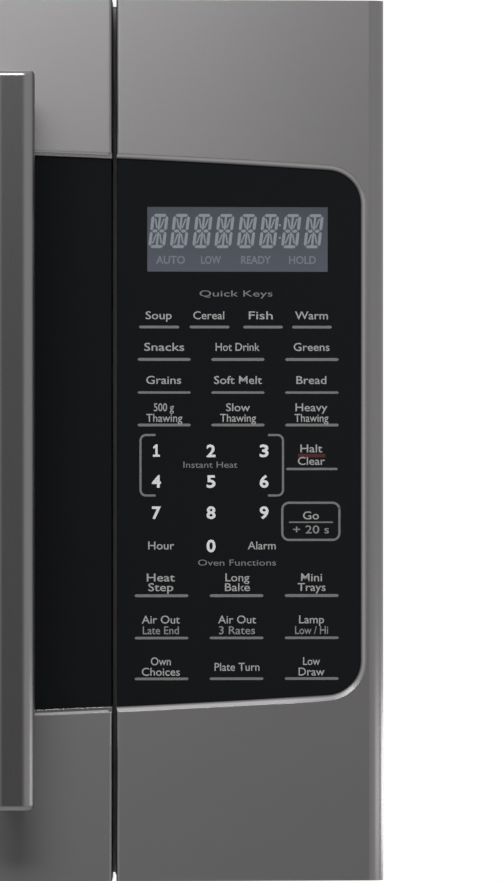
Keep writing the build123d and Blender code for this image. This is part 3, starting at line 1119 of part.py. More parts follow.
with BuildPart() as door_frame:
    with BuildSketch(Plane.XY.offset(-PAN_Z)) as pan_plan:
        with BuildLine():
            lower = math.radians(148)
            middle = math.radians(119)
            arc_points = [
                (HINGE_X + radius * math.cos(turn), HINGE_Y + radius * math.sin(turn))
                for radius in (flange_radius, flange_radius - SHEET)
                for turn in (math.pi / 2, middle, lower)
            ]
            ThreePointArc(*arc_points[:3])
            Line(arc_points[2], arc_points[5])
            ThreePointArc(*arc_points[3:])
            Line(arc_points[3], arc_points[0])
        make_face()
    extrude(pan_plan.sketch, amount=2 * PAN_Z)
    pan_y = (HINGE_Y + flange_radius - SHEET, HINGE_Y + flange_radius)
    block((HINGE_X, pan_right), pan_y, around(0, PAN_Z))
    block((pan_right - SHEET, pan_right), (PAN_FRONT, pan_y[1]), around(0, PAN_Z))
    for side in (-1, 1):
        rim_z = sorted((side * PAN_Z, side * (PAN_Z - SHEET)))
        block((HINGE_X + 20, pan_right), (PAN_RIM_FRONT, pan_y[1]), rim_z)
        lug_z = sorted((side * HINGE_LUG_Z[0], side * HINGE_LUG_Z[1]))
        block((HINGE_X - 8, HINGE_X + 18), (HINGE_Y - 8, pan_y[0]), lug_z)
        pin_bore = HINGE_PIN + RUN_FIT
        rod((HINGE_X, HINGE_Y, lug_z[0]), "Z", pin_bore, lug_z[1] - lug_z[0], mode=Mode.SUBTRACT)
    block(SCREEN_X, pan_y, SCREEN_Z, mode=Mode.SUBTRACT)
    screen_x = (SCREEN_X[0] - SCREEN_LAP, SCREEN_X[1] + SCREEN_LAP)
    screen_z = (SCREEN_Z[0] - SCREEN_LAP, SCREEN_Z[1] + SCREEN_LAP)
    block(screen_x, (pan_y[0] - SCREEN_THICK, pan_y[0]), screen_z)
    for height in HOOK_Z:
        block(around(LATCH_X, HOOK_SLOT[0]), pan_y, around(height, HOOK_SLOT[1]), mode=Mode.SUBTRACT)
    block(around(LATCH_X, 5), (pan_y[0] - 7, pan_y[0]), (SPRING_Z[1], SPRING_Z[1] + 2))
finish(door_frame, "door_frame")

CHOKE_X = (CAVITY_X[0] - 11, CAVITY_X[1] + 22)
CHOKE_Z = (CAVITY_Z[0] - 20, CAVITY_Z[1] + 20)
CHOKE_THICK = 2.4
WINDOW_CORNER = 6.0
WINDOW_PLAY = 0.2
WINDOW_THICK = 1.5
choke_y = (pan_y[1], pan_y[1] + CHOKE_THICK)
screen_middle = (sum(SCREEN_X) / 2, sum(SCREEN_Z) / 2)
screen_width = SCREEN_X[1] - SCREEN_X[0]
screen_height = SCREEN_Z[1] - SCREEN_Z[0]
with BuildPart() as choke_cover:
    with BuildSketch(Plane.XZ.offset(-choke_y[1])):
        with Locations((sum(CHOKE_X) / 2, sum(CHOKE_Z) / 2)):
            RectangleRounded(CHOKE_X[1] - CHOKE_X[0], CHOKE_Z[1] - CHOKE_Z[0], 10)
        with Locations(screen_middle):
            RectangleRounded(screen_width, screen_height, WINDOW_CORNER, mode=Mode.SUBTRACT)
    extrude(amount=CHOKE_THICK)
finish(choke_cover, "choke_cover")

with BuildPart() as inner_window:
    with BuildSketch(Plane.XZ.offset(-choke_y[1] + 0.4)):
        with Locations(screen_middle):
            width = screen_width - 2 * WINDOW_PLAY
            height = screen_height - 2 * WINDOW_PLAY
            RectangleRounded(width, height, WINDOW_CORNER - WINDOW_PLAY)
    extrude(amount=WINDOW_THICK)
finish(inner_window, "inner_window")

handle_front = bow_y(HANDLE_X)
bar_y = handle_front - HANDLE_REACH
BAR_SECTION = (21.0, 13.0)
POST_SECTION = (15.0, 20.0)
SECTION_ROUND = 6.0
BAR_END_ROUND = 2.5
THREAD_DEPTH = 22.0
with BuildPart() as handle:
    with BuildSketch(Plane.XY.offset(-HANDLE_LENGTH / 2)) as bar_section:
        with Locations((HANDLE_X, bar_y)):
            RectangleRounded(*BAR_SECTION, SECTION_ROUND)
    extrude(bar_section.sketch, amount=HANDLE_LENGTH)
    for end in (0, -1):
        fillet(handle.faces().group_by(Axis.Z)[end].edges(), BAR_END_ROUND)
    for side in (-1, 1):
        with BuildSketch(Plane.XZ.offset(-bar_y)) as post_section:
            with Locations((HANDLE_X, side * POST_Z)):
                RectangleRounded(*POST_SECTION, SECTION_ROUND)
        extrude(post_section.sketch, amount=-HANDLE_REACH - 2)
    bow_slab(around(HANDLE_X, 15), (-0.05, 8), around(0, HALF_HEIGHT), mode=Mode.SUBTRACT)
    for side in (-1, 1):
        thread_start = (HANDLE_X, handle_front - THREAD_DEPTH, side * POST_Z)
        rod(thread_start, "Y", HANDLE_SCREW, THREAD_DEPTH + 2, mode=Mode.SUBTRACT)
finish(handle, "handle")

with BuildPart() as handle_screws:
    for side in (-1, 1):
        head_y = handle_front + SKIN + 0.5
        tip_y = handle_front - THREAD_DEPTH + 2
        rod((HANDLE_X, tip_y, side * POST_Z), "Y", HANDLE_SCREW, head_y - tip_y)
        rod((HANDLE_X, head_y, side * POST_Z), "Y", 2 * HANDLE_SCREW, 2.4)
finish(handle_screws, "handle_screws")

HOOK_END_Y = -322.0
HOOK_TIP = 7.0                  # length of the turned-down tip
HOOK_HALF = (2.5, 4.0)          # half sizes of a hook on X and on Z
TIP_DROP = 5.0
SPRING_RADIUS = (2.6, 1.9)      # outer and inner
with BuildPart() as latch_hooks:
    plate_y = (pan_y[0] - 4.5, pan_y[0] - 1)
    hook_x = around(LATCH_X, HOOK_HALF[0])
    block(around(LATCH_X, 7), plate_y, (-88, SPRING_Z[0]))
    for height in HOOK_Z:
        tip_z = (height - HOOK_HALF[1] - TIP_DROP, height - HOOK_HALF[1])
        block(hook_x, (plate_y[1], HOOK_END_Y), around(height, HOOK_HALF[1]))
        block(hook_x, (HOOK_END_Y - HOOK_TIP, HOOK_END_Y), tip_z)
finish(latch_hooks, "latch_hooks")

with BuildPart() as latch_spring:
    spring_length = SPRING_Z[1] - SPRING_Z[0]
    spring_foot = (LATCH_X, sum(plate_y) / 2, SPRING_Z[0])
    rod(spring_foot, "Z", SPRING_RADIUS[0], spring_length)
    rod(spring_foot, "Z", SPRING_RADIUS[1], spring_length, mode=Mode.SUBTRACT)
finish(latch_spring, "latch_spring")
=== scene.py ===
import math

import bmesh
import bpy
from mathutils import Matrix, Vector


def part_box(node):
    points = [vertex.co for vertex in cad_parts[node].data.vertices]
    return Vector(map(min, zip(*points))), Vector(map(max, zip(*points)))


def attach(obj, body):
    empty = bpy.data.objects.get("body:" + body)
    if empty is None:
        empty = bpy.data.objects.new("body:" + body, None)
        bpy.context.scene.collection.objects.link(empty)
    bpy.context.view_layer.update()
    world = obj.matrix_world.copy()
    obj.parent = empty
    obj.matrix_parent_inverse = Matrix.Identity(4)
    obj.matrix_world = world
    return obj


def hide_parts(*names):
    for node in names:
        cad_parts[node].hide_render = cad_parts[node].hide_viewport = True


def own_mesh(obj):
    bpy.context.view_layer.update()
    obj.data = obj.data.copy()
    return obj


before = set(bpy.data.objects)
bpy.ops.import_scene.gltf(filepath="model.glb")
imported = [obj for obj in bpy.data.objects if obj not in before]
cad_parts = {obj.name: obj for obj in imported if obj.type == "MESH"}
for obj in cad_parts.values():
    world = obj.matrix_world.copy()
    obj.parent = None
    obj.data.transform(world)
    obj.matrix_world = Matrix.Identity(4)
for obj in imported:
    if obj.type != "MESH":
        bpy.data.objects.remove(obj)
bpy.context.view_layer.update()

MM = 0.001

# The front in millimetres, as in the solids
FRONT_Y = -398.0
BOW_RADIUS = 4007.45
BOW_CENTRE_Y = FRONT_Y + BOW_RADIUS
GLASS_INSET = 2.2

# The photograph: its rows, millimetres on the front per pixel, and a place known in both
PHOTO_ROWS = 881
PX = 0.4703
EDGE_PX = 383.5
EDGE_X = 379.4
MIDDLE_PY = 440.5


def across(px):
    """X in millimetres of a column of the photograph."""
    return EDGE_X - (EDGE_PX - px) * PX


def height(py):
    """Z in millimetres of a row of the photograph."""
    return (MIDDLE_PY - py) * PX


def bow_y(x, inset=0.0):
    """Y in millimetres of the bowed front at x, or of a surface that lies inset behind it."""
    return BOW_CENTRE_Y - math.sqrt((BOW_RADIUS - inset) ** 2 - x ** 2)


# ---------------------------------------------------------------------------
# Camera
# ---------------------------------------------------------------------------
CAMERA_X = 316.6
CAMERA_Y = -385.5
DISTANCE = 4000.0
SENSOR = 36.0                   # along the picture's longer side, its height
FRAME_HEIGHT = PHOTO_ROWS * PX
CLIP_END = 50.0

camera_data = bpy.data.cameras.new("camera")
camera_data.sensor_width = SENSOR
camera_data.lens = SENSOR * DISTANCE / FRAME_HEIGHT
camera_data.clip_end = CLIP_END
camera = bpy.data.objects.new("camera", camera_data)
camera.location = (CAMERA_X * MM, (CAMERA_Y - DISTANCE) * MM, 0.0)
camera.rotation_euler = (math.radians(90), 0.0, 0.0)
bpy.context.scene.collection.objects.link(camera)
bpy.context.scene.camera = camera


# ---------------------------------------------------------------------------
# Materials
# ---------------------------------------------------------------------------
SPAN_SOCKETS = ("From Min", "From Max", "To Min", "To Max")
BEVEL_SAMPLES = 4


class Finish:
    """One procedural material, with short calls for its nodes."""

    def __init__(self, name, color, roughness, metallic=0.0, **sockets):
        self.material = bpy.data.materials.new(name)
        self.material.use_nodes = True
        self.nodes = self.material.node_tree.nodes
        self.links = self.material.node_tree.links
        self.shader = self.nodes["Principled BSDF"]
        self.output = self.nodes["Material Output"]
        self.shader.inputs["Base Color"].default_value = (*color, 1.0)
        self.shader.inputs["Roughness"].default_value = roughness
        self.shader.inputs["Metallic"].default_value = metallic
        for socket, value in sockets.items():
            self.shader.inputs[socket.replace("_", " ")].default_value = value
        self.place = self.nodes.new("ShaderNodeTexCoord").outputs["Object"]

    def join(self, value, socket):
        """Feed a socket from an output, a number, a colour or a vector."""
        if isinstance(value, bpy.types.NodeSocket):
            self.links.new(value, socket)
        else:
            socket.default_value = value

    def scaled(self, scale):
        """Object coordinates, scaled on each axis."""
        node = self.nodes.new("ShaderNodeMapping")
        node.inputs["Scale"].default_value = scale if hasattr(scale, "__len__") else (scale,) * 3
        self.links.new(self.place, node.inputs["Vector"])
        return node.outputs["Vector"]

    def noise(self, scale, detail=3.0, rough=0.5):
        """Noise of that many grains to the metre on each axis, from 0 to 1."""
        node = self.nodes.new("ShaderNodeTexNoise")
        self.links.new(self.scaled(scale), node.inputs["Vector"])
        node.inputs["Scale"].default_value = 1.0
        node.inputs["Detail"].default_value = detail
        node.inputs["Roughness"].default_value = rough
        return node.outputs["Fac"]

    def cells(self, scale, feature="F1", output="Distance"):
        """Voronoi cells of that many to the metre on each axis."""
        node = self.nodes.new("ShaderNodeTexVoronoi")
        node.feature = feature
        self.links.new(self.scaled(scale), node.inputs["Vector"])
        node.inputs["Scale"].default_value = 1.0
        return node.outputs[output]

    def math(self, operation, first, second=0.0):
        """Result of one operation on values or numbers."""
        node = self.nodes.new("ShaderNodeMath")
        node.operation = operation
        self.join(first, node.inputs[0])
        self.join(second, node.inputs[1])
        return node.outputs[0]

    def between(self, value, low, high, to_low=0.0, to_high=1.0):
        """Value mapped from one span to another, held at the ends."""
        node = self.nodes.new("ShaderNodeMapRange")
        self.join(value, node.inputs["Value"])
        for socket, number in zip(SPAN_SOCKETS, (low, high, to_low, to_high)):
            self.join(number, node.inputs[socket])
        return node.outputs["Result"]

    def length(self, first, second):
        """Length of the line that has those two parts on axes at right angles."""
        squares = [self.math("MULTIPLY", part, part) for part in (first, second)]
        return self.math("SQRT", self.math("ADD", *squares))

    def inside(self, value, low, high):
        """1 where a value lies between two numbers, else 0."""
        from_middle = self.math("ABSOLUTE", self.math("SUBTRACT", value, (low + high) / 2))
        return self.math("LESS_THAN", from_middle, (high - low) / 2)

    def mix(self, share, first, second):
        """Colour between two others by a share from 0 to 1."""
        node = self.nodes.new("ShaderNodeMix")
        node.data_type = "RGBA"
        self.join(share, node.inputs["Factor"])
        for socket, value in ((node.inputs[6], first), (node.inputs[7], second)):
            self.join(value if isinstance(value, bpy.types.NodeSocket) else (*value, 1.0), socket)
        return node.outputs[2]

    def axes(self, vector):
        """The three parts of a vector."""
        node = self.nodes.new("ShaderNodeSeparateXYZ")
        self.links.new(vector, node.inputs[0])
        return node.outputs

    def color(self, value):
        """Colour of the surface."""
        self.join(value, self.shader.inputs["Base Color"])

    def rough(self, value):
        """Roughness of the surface."""
        self.join(value, self.shader.inputs["Roughness"])

    def bump(self, grain, strength, depth_mm, edge_mm=0.0):
        """Bump from a grain, over edges that look rounded by edge_mm."""
        node = self.nodes.new("ShaderNodeBump")
        self.join(strength, node.inputs["Strength"])
        node.inputs["Distance"].default_value = depth_mm * MM
        self.links.new(grain, node.inputs["Height"])
        if edge_mm:
            edge = self.nodes.new("ShaderNodeBevel")
            edge.samples = BEVEL_SAMPLES
            edge.inputs["Radius"].default_value = edge_mm * MM
            self.links.new(edge.outputs["Normal"], node.inputs["Normal"])
        self.links.new(node.outputs["Normal"], self.shader.inputs["Normal"])

    def edges(self, radius_mm):
        """Share of sharp edges, where callers paint the colour lighter as worn edges and as a painted
        highlight: how far a rounded normal departs from the face's own.
        """
        bevel = self.nodes.new("ShaderNodeBevel")
        bevel.samples = BEVEL_SAMPLES
        bevel.inputs["Radius"].default_value = radius_mm * MM
        geometry = self.nodes.new("ShaderNodeNewGeometry")
        dot = self.nodes.new("ShaderNodeVectorMath")
        dot.operation = "DOT_PRODUCT"
        self.links.new(bevel.outputs["Normal"], dot.inputs[0])
        self.links.new(geometry.outputs["Normal"], dot.inputs[1])
        return self.between(dot.outputs["Value"], 0.995, 0.80)


def tint(color, factor):
    """The colour, darker or lighter by a factor."""
    return tuple(channel * factor for channel in color)


# The rim of the band in the front, in millimetres: half the width and height of the area that holds
# it, and the depths behind the front over which the bevel's painted highlight and the step's painted shade
# come in
RIM_AREA = {"X": 372.0, "Z": 143.0}
BEVEL_DEPTHS = (0.08, 0.5)
FLOOR_DEPTHS = (0.8, 1.65)
BEVEL_PAINTED_HIGHLIGHT = 1.6
BEVEL_ROUGHNESS = 0.24
STEP_FLOOR_PAINTED_SHADE = (0.01, 0.01, 0.011)


def brushed(name, color, along, roughness, rim=False):
    """Brushed stainless steel with its grain along X or Z, and with the band's rim on the front: a painted
    highlight on its bevel and painted shade on the floor of its step.
    """
    turn = 0.25 if along == "X" else 0.0
    finish = Finish(name, color, roughness, 1.0, Anisotropic=0.45, Anisotropic_Rotation=turn)

    def grain(lengthwise, crosswise):
        """Scale of a pattern on each axis, to the metre."""
        return [lengthwise if axis == along else crosswise for axis in "XYZ"]

    hair = finish.noise(grain(55, 3200), 2.0, 0.55)
    streak = finish.noise(grain(16, 1100), 2.0, 0.5)
    cloud = finish.noise(grain(9, 16), 2.0, 0.5)
    shade = finish.mix(finish.between(hair, 0.25, 0.75), tint(color, 0.965), tint(color, 1.035))
    shade = finish.mix(finish.between(streak, 0.3, 0.7, 0.0, 0.4), shade, tint(color, 0.965))
    shade = finish.mix(finish.between(cloud, 0.3, 0.7, 0.0, 0.4), shade, tint(color, 1.04))
    rough = finish.between(hair, 0.25, 0.75, roughness + 0.01, roughness - 0.01)
    lift = 0.02
    if rim:
        position = finish.axes(finish.place)
        from_centre = finish.math("SUBTRACT", position["Y"], BOW_CENTRE_Y * MM)
        depth = finish.math("SUBTRACT", BOW_RADIUS * MM, finish.length(position["X"], from_centre))
        area = finish.math("MULTIPLY", *(finish.inside(position[axis], -reach * MM, reach * MM)
                                         for axis, reach in RIM_AREA.items()))
        bevel, step_floor_shade_share = (finish.math("MULTIPLY", finish.between(depth, start * MM, full * MM), area)
                              for start, full in (BEVEL_DEPTHS, FLOOR_DEPTHS))
        # The bevel is painted lighter as a highlight, and given its own lower roughness
        shade = finish.mix(bevel, shade, tint(color, BEVEL_PAINTED_HIGHLIGHT))
        # The floor of the step by the glass is painted near black: painted shade in the recess
        shade = finish.mix(step_floor_shade_share, shade, STEP_FLOOR_PAINTED_SHADE)
        rough = finish.between(bevel, 0.0, 1.0, rough, BEVEL_ROUGHNESS)
        lift = finish.between(bevel, 0.0, 1.0, lift, 0.0)
    finish.color(shade)
    finish.rough(rough)
    tangent = finish.nodes.new("ShaderNodeTangent")
    tangent.direction_type = "RADIAL"
    tangent.axis = "Z"
    finish.links.new(tangent.outputs[0], finish.shader.inputs["Tangent"])
    finish.bump(hair, lift, 0.03, 0.35)
    return finish.material


def gloss_black(name):
    """Black glass, with faint wiping marks."""
    color = (0.0072, 0.0077, 0.0088)
    roughness = 0.09
    finish = Finish(name, color, roughness, Specular_IOR_Level=0.16)
    smear = finish.noise((18, 18, 7), 5.0, 0.62)
    dust = finish.noise(900, 2.0)
    finish.color(finish.mix(finish.between(dust, 0.62, 0.8, 0.0, 0.35), color, tint(color, 2.2)))
    finish.rough(finish.between(smear, 0.35, 0.72, roughness - 0.03, roughness + 0.09))
    finish.bump(smear, 0.02, 0.05)
    return finish.material


def sheet_metal(name, color, roughness, spangle=140.0, worn_and_highlit_edge_tint=1.5):
    """Galvanised or plain sheet, with crystals in the zinc, and edges lighter as worn metal and as a painted
    highlight.
    """
    finish = Finish(name, color, roughness, 1.0)
    crystal = finish.axes(finish.cells(spangle, output="Color"))["X"]
    grime = finish.noise(24, 5.0, 0.6)
    shade = finish.mix(crystal, tint(color, 0.89), tint(color, 1.09))
    shade = finish.mix(finish.between(grime, 0.5, 0.85, 0.0, 0.35), shade, tint(color, 0.55))
    # Sharp edges painted lighter: worn metal, and a painted highlight
    finish.color(finish.mix(finish.edges(0.5), shade, tint(color, worn_and_highlit_edge_tint)))
    finish.rough(finish.between(crystal, 0.0, 1.0, roughness - 0.04, roughness + 0.06))
    finish.bump(grime, 0.06, 0.2)
    return finish.material


def painted(name, color, roughness, peel=700.0, speck=None):
    """Paint or enamel with orange peel, faint dirt, and edges painted lighter as worn paint and as a painted
    highlight.
    """
    finish = Finish(name, color, roughness, 0.0, Coat_Weight=0.15, Coat_Roughness=0.2)
    skin = finish.noise(peel, 2.0)
    dirt = finish.noise((14, 14, 20), 5.0, 0.6)
    shade = finish.mix(finish.between(dirt, 0.4, 0.8), color, tint(color, 0.88))
    if speck:
        dots = finish.cells(1300.0)
        shade = finish.mix(finish.between(dots, 0.16, 0.24, 0.75, 0.0), shade, speck)
    lighter = tuple(min(1.0, channel * 1.3 + 0.03) for channel in color)
    # Sharp edges painted lighter: worn paint, and a painted highlight
    finish.color(finish.mix(finish.math("MULTIPLY", finish.edges(0.6), 0.25), shade, lighter))
    finish.rough(finish.between(dirt, 0.3, 0.8, roughness - 0.02, roughness + 0.05))
    finish.bump(skin, 0.12, 0.05, 0.4)
    return finish.material


def moulded(name, color, roughness):
    """Moulded plastic with a fine spark-eroded texture."""
    finish = Finish(name, color, roughness, 0.0, Specular_IOR_Level=0.4)
    pores = finish.noise(1600.0, 3.0, 0.6)
    flow = finish.noise(30, 3.0)
    lighter = tuple(min(1.0, channel * 1.25 + 0.02) for channel in color)
    shade = finish.mix(finish.between(flow, 0.35, 0.7), tint(color, 0.88), tint(color, 1.08))
    # Sharp edges painted lighter: worn plastic, and a painted highlight
    finish.color(finish.mix(finish.math("MULTIPLY", finish.edges(0.4), 0.4), shade, lighter))
    finish.rough(finish.between(pores, 0.3, 0.7, roughness - 0.06, roughness + 0.08))
    finish.bump(pores, 0.25, 0.05, 0.3)
    return finish.material


def clear(name, color, roughness, thin=False):
    """Clear glass or film, with a little dust and unevenness."""
    finish = Finish(name, color, roughness, 0.0, Transmission_Weight=1.0, IOR=1.5)
    waves = finish.noise(35, 2.0)
    dust = finish.noise(420, 4.0, 0.6)
    finish.color(finish.mix(finish.between(dust, 0.55, 0.8, 0.0, 0.25), color, tint(color, 0.8)))
    finish.rough(finish.between(dust, 0.4, 0.8, roughness, roughness + 0.12))
    finish.bump(waves, 0.04 if thin else 0.12, 0.3)
    return finish.material


def printed(name, color):
    """Ink printed on the glass, slightly uneven in its cover."""
    finish = Finish(name, color, 0.55, Specular_IOR_Level=0.25)
    cover = finish.noise(2600, 2.0)
    finish.color(finish.mix(finish.between(cover, 0.35, 0.7), tint(color, 0.86), tint(color, 1.08)))
    finish.bump(cover, 0.08, 0.02)
    return finish.material


STEEL = (0.272, 0.264, 0.268)
ZINC = (0.46, 0.47, 0.48)

stainless_front = brushed("stainless_front", STEEL, "X", 0.34, rim=True)
stainless_bar = brushed("stainless_bar", tint(STEEL, 1.05), "Z", 0.28)
control_black = gloss_black("control_black")
door_black = gloss_black("door_black")
galvanised = sheet_metal("galvanised_sheet", ZINC, 0.38)
bright_steel = sheet_metal("bright_steel", (0.52, 0.52, 0.52), 0.24, 900.0, 1.2)
aluminium = sheet_metal("rolled_aluminium", (0.66, 0.66, 0.67), 0.32, 420.0, 1.2)
case_grey = painted("case_grey", (0.052, 0.053, 0.056), 0.58)
enamel = painted("cavity_enamel_grey", (0.30, 0.30, 0.29), 0.34, 420.0, (0.16, 0.16, 0.155))
black_plastic = moulded("black_moulding", (0.017, 0.017, 0.018), 0.48)
white_plastic = moulded("white_moulding", (0.60, 0.59, 0.55), 0.42)
lamination = painted("lamination_varnish", (0.05, 0.05, 0.058), 0.4, 1500.0)
tray_glass = clear("tray_glass_clear", (0.93, 0.965, 0.96), 0.03)
lens_glass = clear("lamp_lens_frosted", (0.95, 0.95, 0.93), 0.22)
window_film = clear("window_film", (0.9, 0.91, 0.91), 0.05, thin=True)
bulb_glass = clear("bulb_glass_clear", (0.97, 0.96, 0.92), 0.04)


def copper_turns():
    """Winding of enamelled copper wire, as fine lines one above the other, painted dark between the turns as
    shade.
    """
    copper = (0.50, 0.20, 0.075)
    finish = Finish("copper_turns", copper, 0.4, 0.3)
    wave = finish.nodes.new("ShaderNodeTexWave")
    wave.bands_direction = "Z"
    wave.inputs["Scale"].default_value = 160.0
    wave.inputs["Distortion"].default_value = 0.6
    wave.inputs["Detail"].default_value = 1.0
    finish.links.new(finish.place, wave.inputs["Vector"])
    # The dark bands are painted shade in the grooves between the turns
    finish.color(finish.mix(wave.outputs["Fac"], (0.16, 0.05, 0.02), copper))
    finish.bump(wave.outputs["Fac"], 0.7, 0.25)
    return finish.material


def board_green():
    """Circuit board with tracks under its solder mask."""
    finish = Finish("board_green", (0.02, 0.12, 0.05), 0.35)
    track = finish.cells(260.0, "DISTANCE_TO_EDGE")
    finish.color(finish.mix(finish.between(track, 0.04, 0.08), (0.05, 0.20, 0.09), (0.012, 0.085, 0.035)))
    finish.bump(track, 0.15, 0.05)
    return finish.material


def mica_sheet():
    """Pressed mica with flakes."""
    finish = Finish("mica_flakes", (0.36, 0.31, 0.22), 0.5)
    flake = finish.axes(finish.cells(520.0, output="Color"))["Y"]
    finish.color(finish.mix(flake, (0.28, 0.235, 0.16), (0.47, 0.41, 0.31)))
    finish.bump(flake, 0.2, 0.05)
    return finish.material


def charcoal():
    """Black granules under a net."""
    finish = Finish("charcoal_granules", (0.012, 0.012, 0.013), 0.8)
    grain = finish.cells(420.0)
    finish.color(finish.mix(finish.between(grain, 0.1, 0.6), (0.03, 0.03, 0.031), (0.006, 0.006, 0.007)))
    finish.bump(grain, 0.8, 0.8)
    return finish.material


# The screen: distance between holes in a row, in millimetres, that between rows, the radii of a
# hole's rim and of its black in pitches, and the holed area in millimetres
SCREEN_PITCH = 2.0
SCREEN_ROWS = 0.866
SCREEN_HOLE = (0.34, 0.30)
SCREEN_AREA = {"X": (-309.0, 154.0), "Z": (-116.0, 71.0)}


def screened_pan():
    """Black enamelled door pan whose middle is a screen of round holes in rows."""
    finish = Finish("screened_pan", (0.016, 0.016, 0.017), 0.38, Coat_Weight=0.1)
    position = finish.axes(finish.place)
    column = finish.math("DIVIDE", position["X"], SCREEN_PITCH * MM)
    row = finish.math("DIVIDE", position["Z"], SCREEN_PITCH * SCREEN_ROWS * MM)
    odd = finish.math("MULTIPLY", finish.math("FLOORED_MODULO", finish.math("FLOOR", row), 2.0), 0.5)
    from_column = finish.math("SUBTRACT", finish.math("FRACT", finish.math("ADD", column, odd)), 0.5)
    from_row = finish.math("MULTIPLY", finish.math("SUBTRACT", finish.math("FRACT", row), 0.5), SCREEN_ROWS)
    hole = finish.between(finish.length(from_column, from_row), *SCREEN_HOLE)
    for axis, (low, high) in SCREEN_AREA.items():
        hole = finish.math("MULTIPLY", hole, finish.inside(position[axis], low * MM, high * MM))
    dirt = finish.noise(20, 4.0)
    plate = finish.mix(finish.between(dirt, 0.4, 0.8), (0.030, 0.030, 0.032), (0.020, 0.020, 0.021))
    finish.color(finish.mix(hole, plate, (0.0015, 0.0015, 0.0017)))
    finish.rough(finish.between(hole, 0.0, 1.0, 0.36, 0.9))
    finish.bump(hole, -0.5, 0.3)
    return finish.material


def filter_mesh():
    """Pressed aluminium net with a fine expanded weave on its flat faces."""
    finish = Finish("filter_net", (0.62, 0.62, 0.63), 0.36, 1.0)
    weave = finish.cells((760, 430, 760), "DISTANCE_TO_EDGE")
    grease = finish.noise(26, 5.0, 0.6)
    shade = finish.mix(finish.between(weave, 0.03, 0.12), (0.74, 0.74, 0.74), (0.36, 0.36, 0.365))
    finish.color(finish.mix(finish.between(grease, 0.5, 0.85, 0.0, 0.3), shade, (0.42, 0.38, 0.30)))
    finish.rough(finish.between(grease, 0.3, 0.8, 0.28, 0.5))
    finish.bump(weave, -0.35, 0.25, 0.3)
    return finish.material


FINISHES = {
    stainless_front: ("panel_frame", "door_skin"),
    stainless_bar: ("handle",),
    control_black: ("control_glass",),
    door_black: ("door_glass",),
    galvanised: ("wall_plate", "back_plate", "hinge_plates", "component_shelf", "exhaust_adaptor",
                 "damper_flap", "blower_housing", "waveguide", "lamp_housings"),
    bright_steel: ("fan_motor", "blower_motor", "turntable_motor", "blower_shaft", "case_screws",
                   "handle_screws", "thermal_cutouts", "hv_capacitor", "latch_spring"),
    aluminium: ("magnetron",),
    case_grey: ("case_wrap", "base_plate", "top_grille"),
    enamel: ("cavity_liner", "front_frame"),
    screened_pan(): ("door_frame",),
    black_plastic: ("choke_cover", "control_chassis", "latch_board", "latch_hooks", "interlock_switches",
                    "cord_bush", "fan_shroud", "fan_wheel", "blower_wheel_left", "blower_wheel_right",
                    "display_module"),
    charcoal(): ("charcoal_filter",),
    white_plastic: ("coupler", "roller_ring", "roller_1", "roller_2", "roller_3"),
    filter_mesh(): ("grease_filter_left", "grease_filter_right"),
    lamination: ("transformer_core",),
    copper_turns(): ("transformer_coils",),
    board_green(): ("control_board",),
    mica_sheet(): ("waveguide_cover",),
    tray_glass: ("glass_tray",),
    lens_glass: ("lamp_cover_left", "lamp_cover_right"),
    window_film: ("inner_window", "touch_film"),
    bulb_glass: ("cavity_lamp", "cooktop_lamps"),
}
for material, nodes in FINISHES.items():
    for node in nodes:
        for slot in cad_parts[node].material_slots:
            slot.material = material


# ---------------------------------------------------------------------------
# Pieces made here
# ---------------------------------------------------------------------------
def piece(name, mesh, material, body):
    """A mesh whose vertices are in place becomes a piece that rides on a body, with a material slot."""
    made = bpy.data.objects.new(name, mesh)
    bpy.context.scene.collection.objects.link(made)
    mesh.materials.clear()
    mesh.materials.append(material)
    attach(made, body)
    return made


def from_bmesh(name, shape):
    """The shape as a mesh, with its faces turned outward."""
    mesh = bpy.data.meshes.new(name)
    bmesh.ops.recalc_face_normals(shape, faces=shape.faces)
    shape.to_mesh(mesh)
    shape.free()
    return mesh


def on_panel(x, z, inset):
    """Point in metres on the bowed front, from X, Z and the inset in millimetres."""
    return Vector((x * MM, bow_y(x, inset) * MM, z * MM))


# ---------------------------------------------------------------------------
# Bevel round the band on the door, which lies in the step of the door skin; its material gives it a painted
# highlight
# ---------------------------------------------------------------------------
BAND_EDGES = ((1, 138.1), (-1, -130.6))   # side and height of the band's long edges
BAND_RADIUS = 5700.0
BAND_LEFT = -349.4
BAND_CORNER = 16.0
STEP_WIDTH = 2.58
STEP_DEPTH = 0.83
BEVEL_TOP = 0.02                # inset of the bevel's upper edge from the front
BEVEL_FOOT = 1.3                # margin at which the bevel meets the floor of the step
SEAM_ROUND = 1.6                # rounding of the door skin's edge at the seam
EDGE_STEPS = 40
CORNER_STEPS = 16


def band_rail(margin):
    """Places (x, z) round the band on the door, from the right end of its top to that of its foot."""
    end_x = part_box("door_skin")[1][0] / MM - SEAM_ROUND
    corner_x = BAND_LEFT + BAND_CORNER
    turn = math.asin(corner_x / (BAND_RADIUS - BAND_CORNER))
    edge_radius = BAND_RADIUS + margin
    corner_radius = BAND_CORNER + margin
    first = math.asin(end_x / edge_radius)
    halves = []
    for side, apex in BAND_EDGES:
        arc_z = apex - side * BAND_RADIUS
        corner_z = arc_z + side * (BAND_RADIUS - BAND_CORNER) * math.cos(turn)
        half = []
        for step in range(EDGE_STEPS):
            angle = first + (turn - first) * step / EDGE_STEPS
            half.append((edge_radius * math.sin(angle), arc_z + side * edge_radius * math.cos(angle)))
        for step in range(CORNER_STEPS + 1):
            angle = turn - (math.pi / 2 + turn) * step / CORNER_STEPS
            half.append((corner_x + corner_radius * math.sin(angle),
                         corner_z + side * corner_radius * math.cos(angle)))
        halves.append(half)
    return halves[0] + halves[1][::-1]


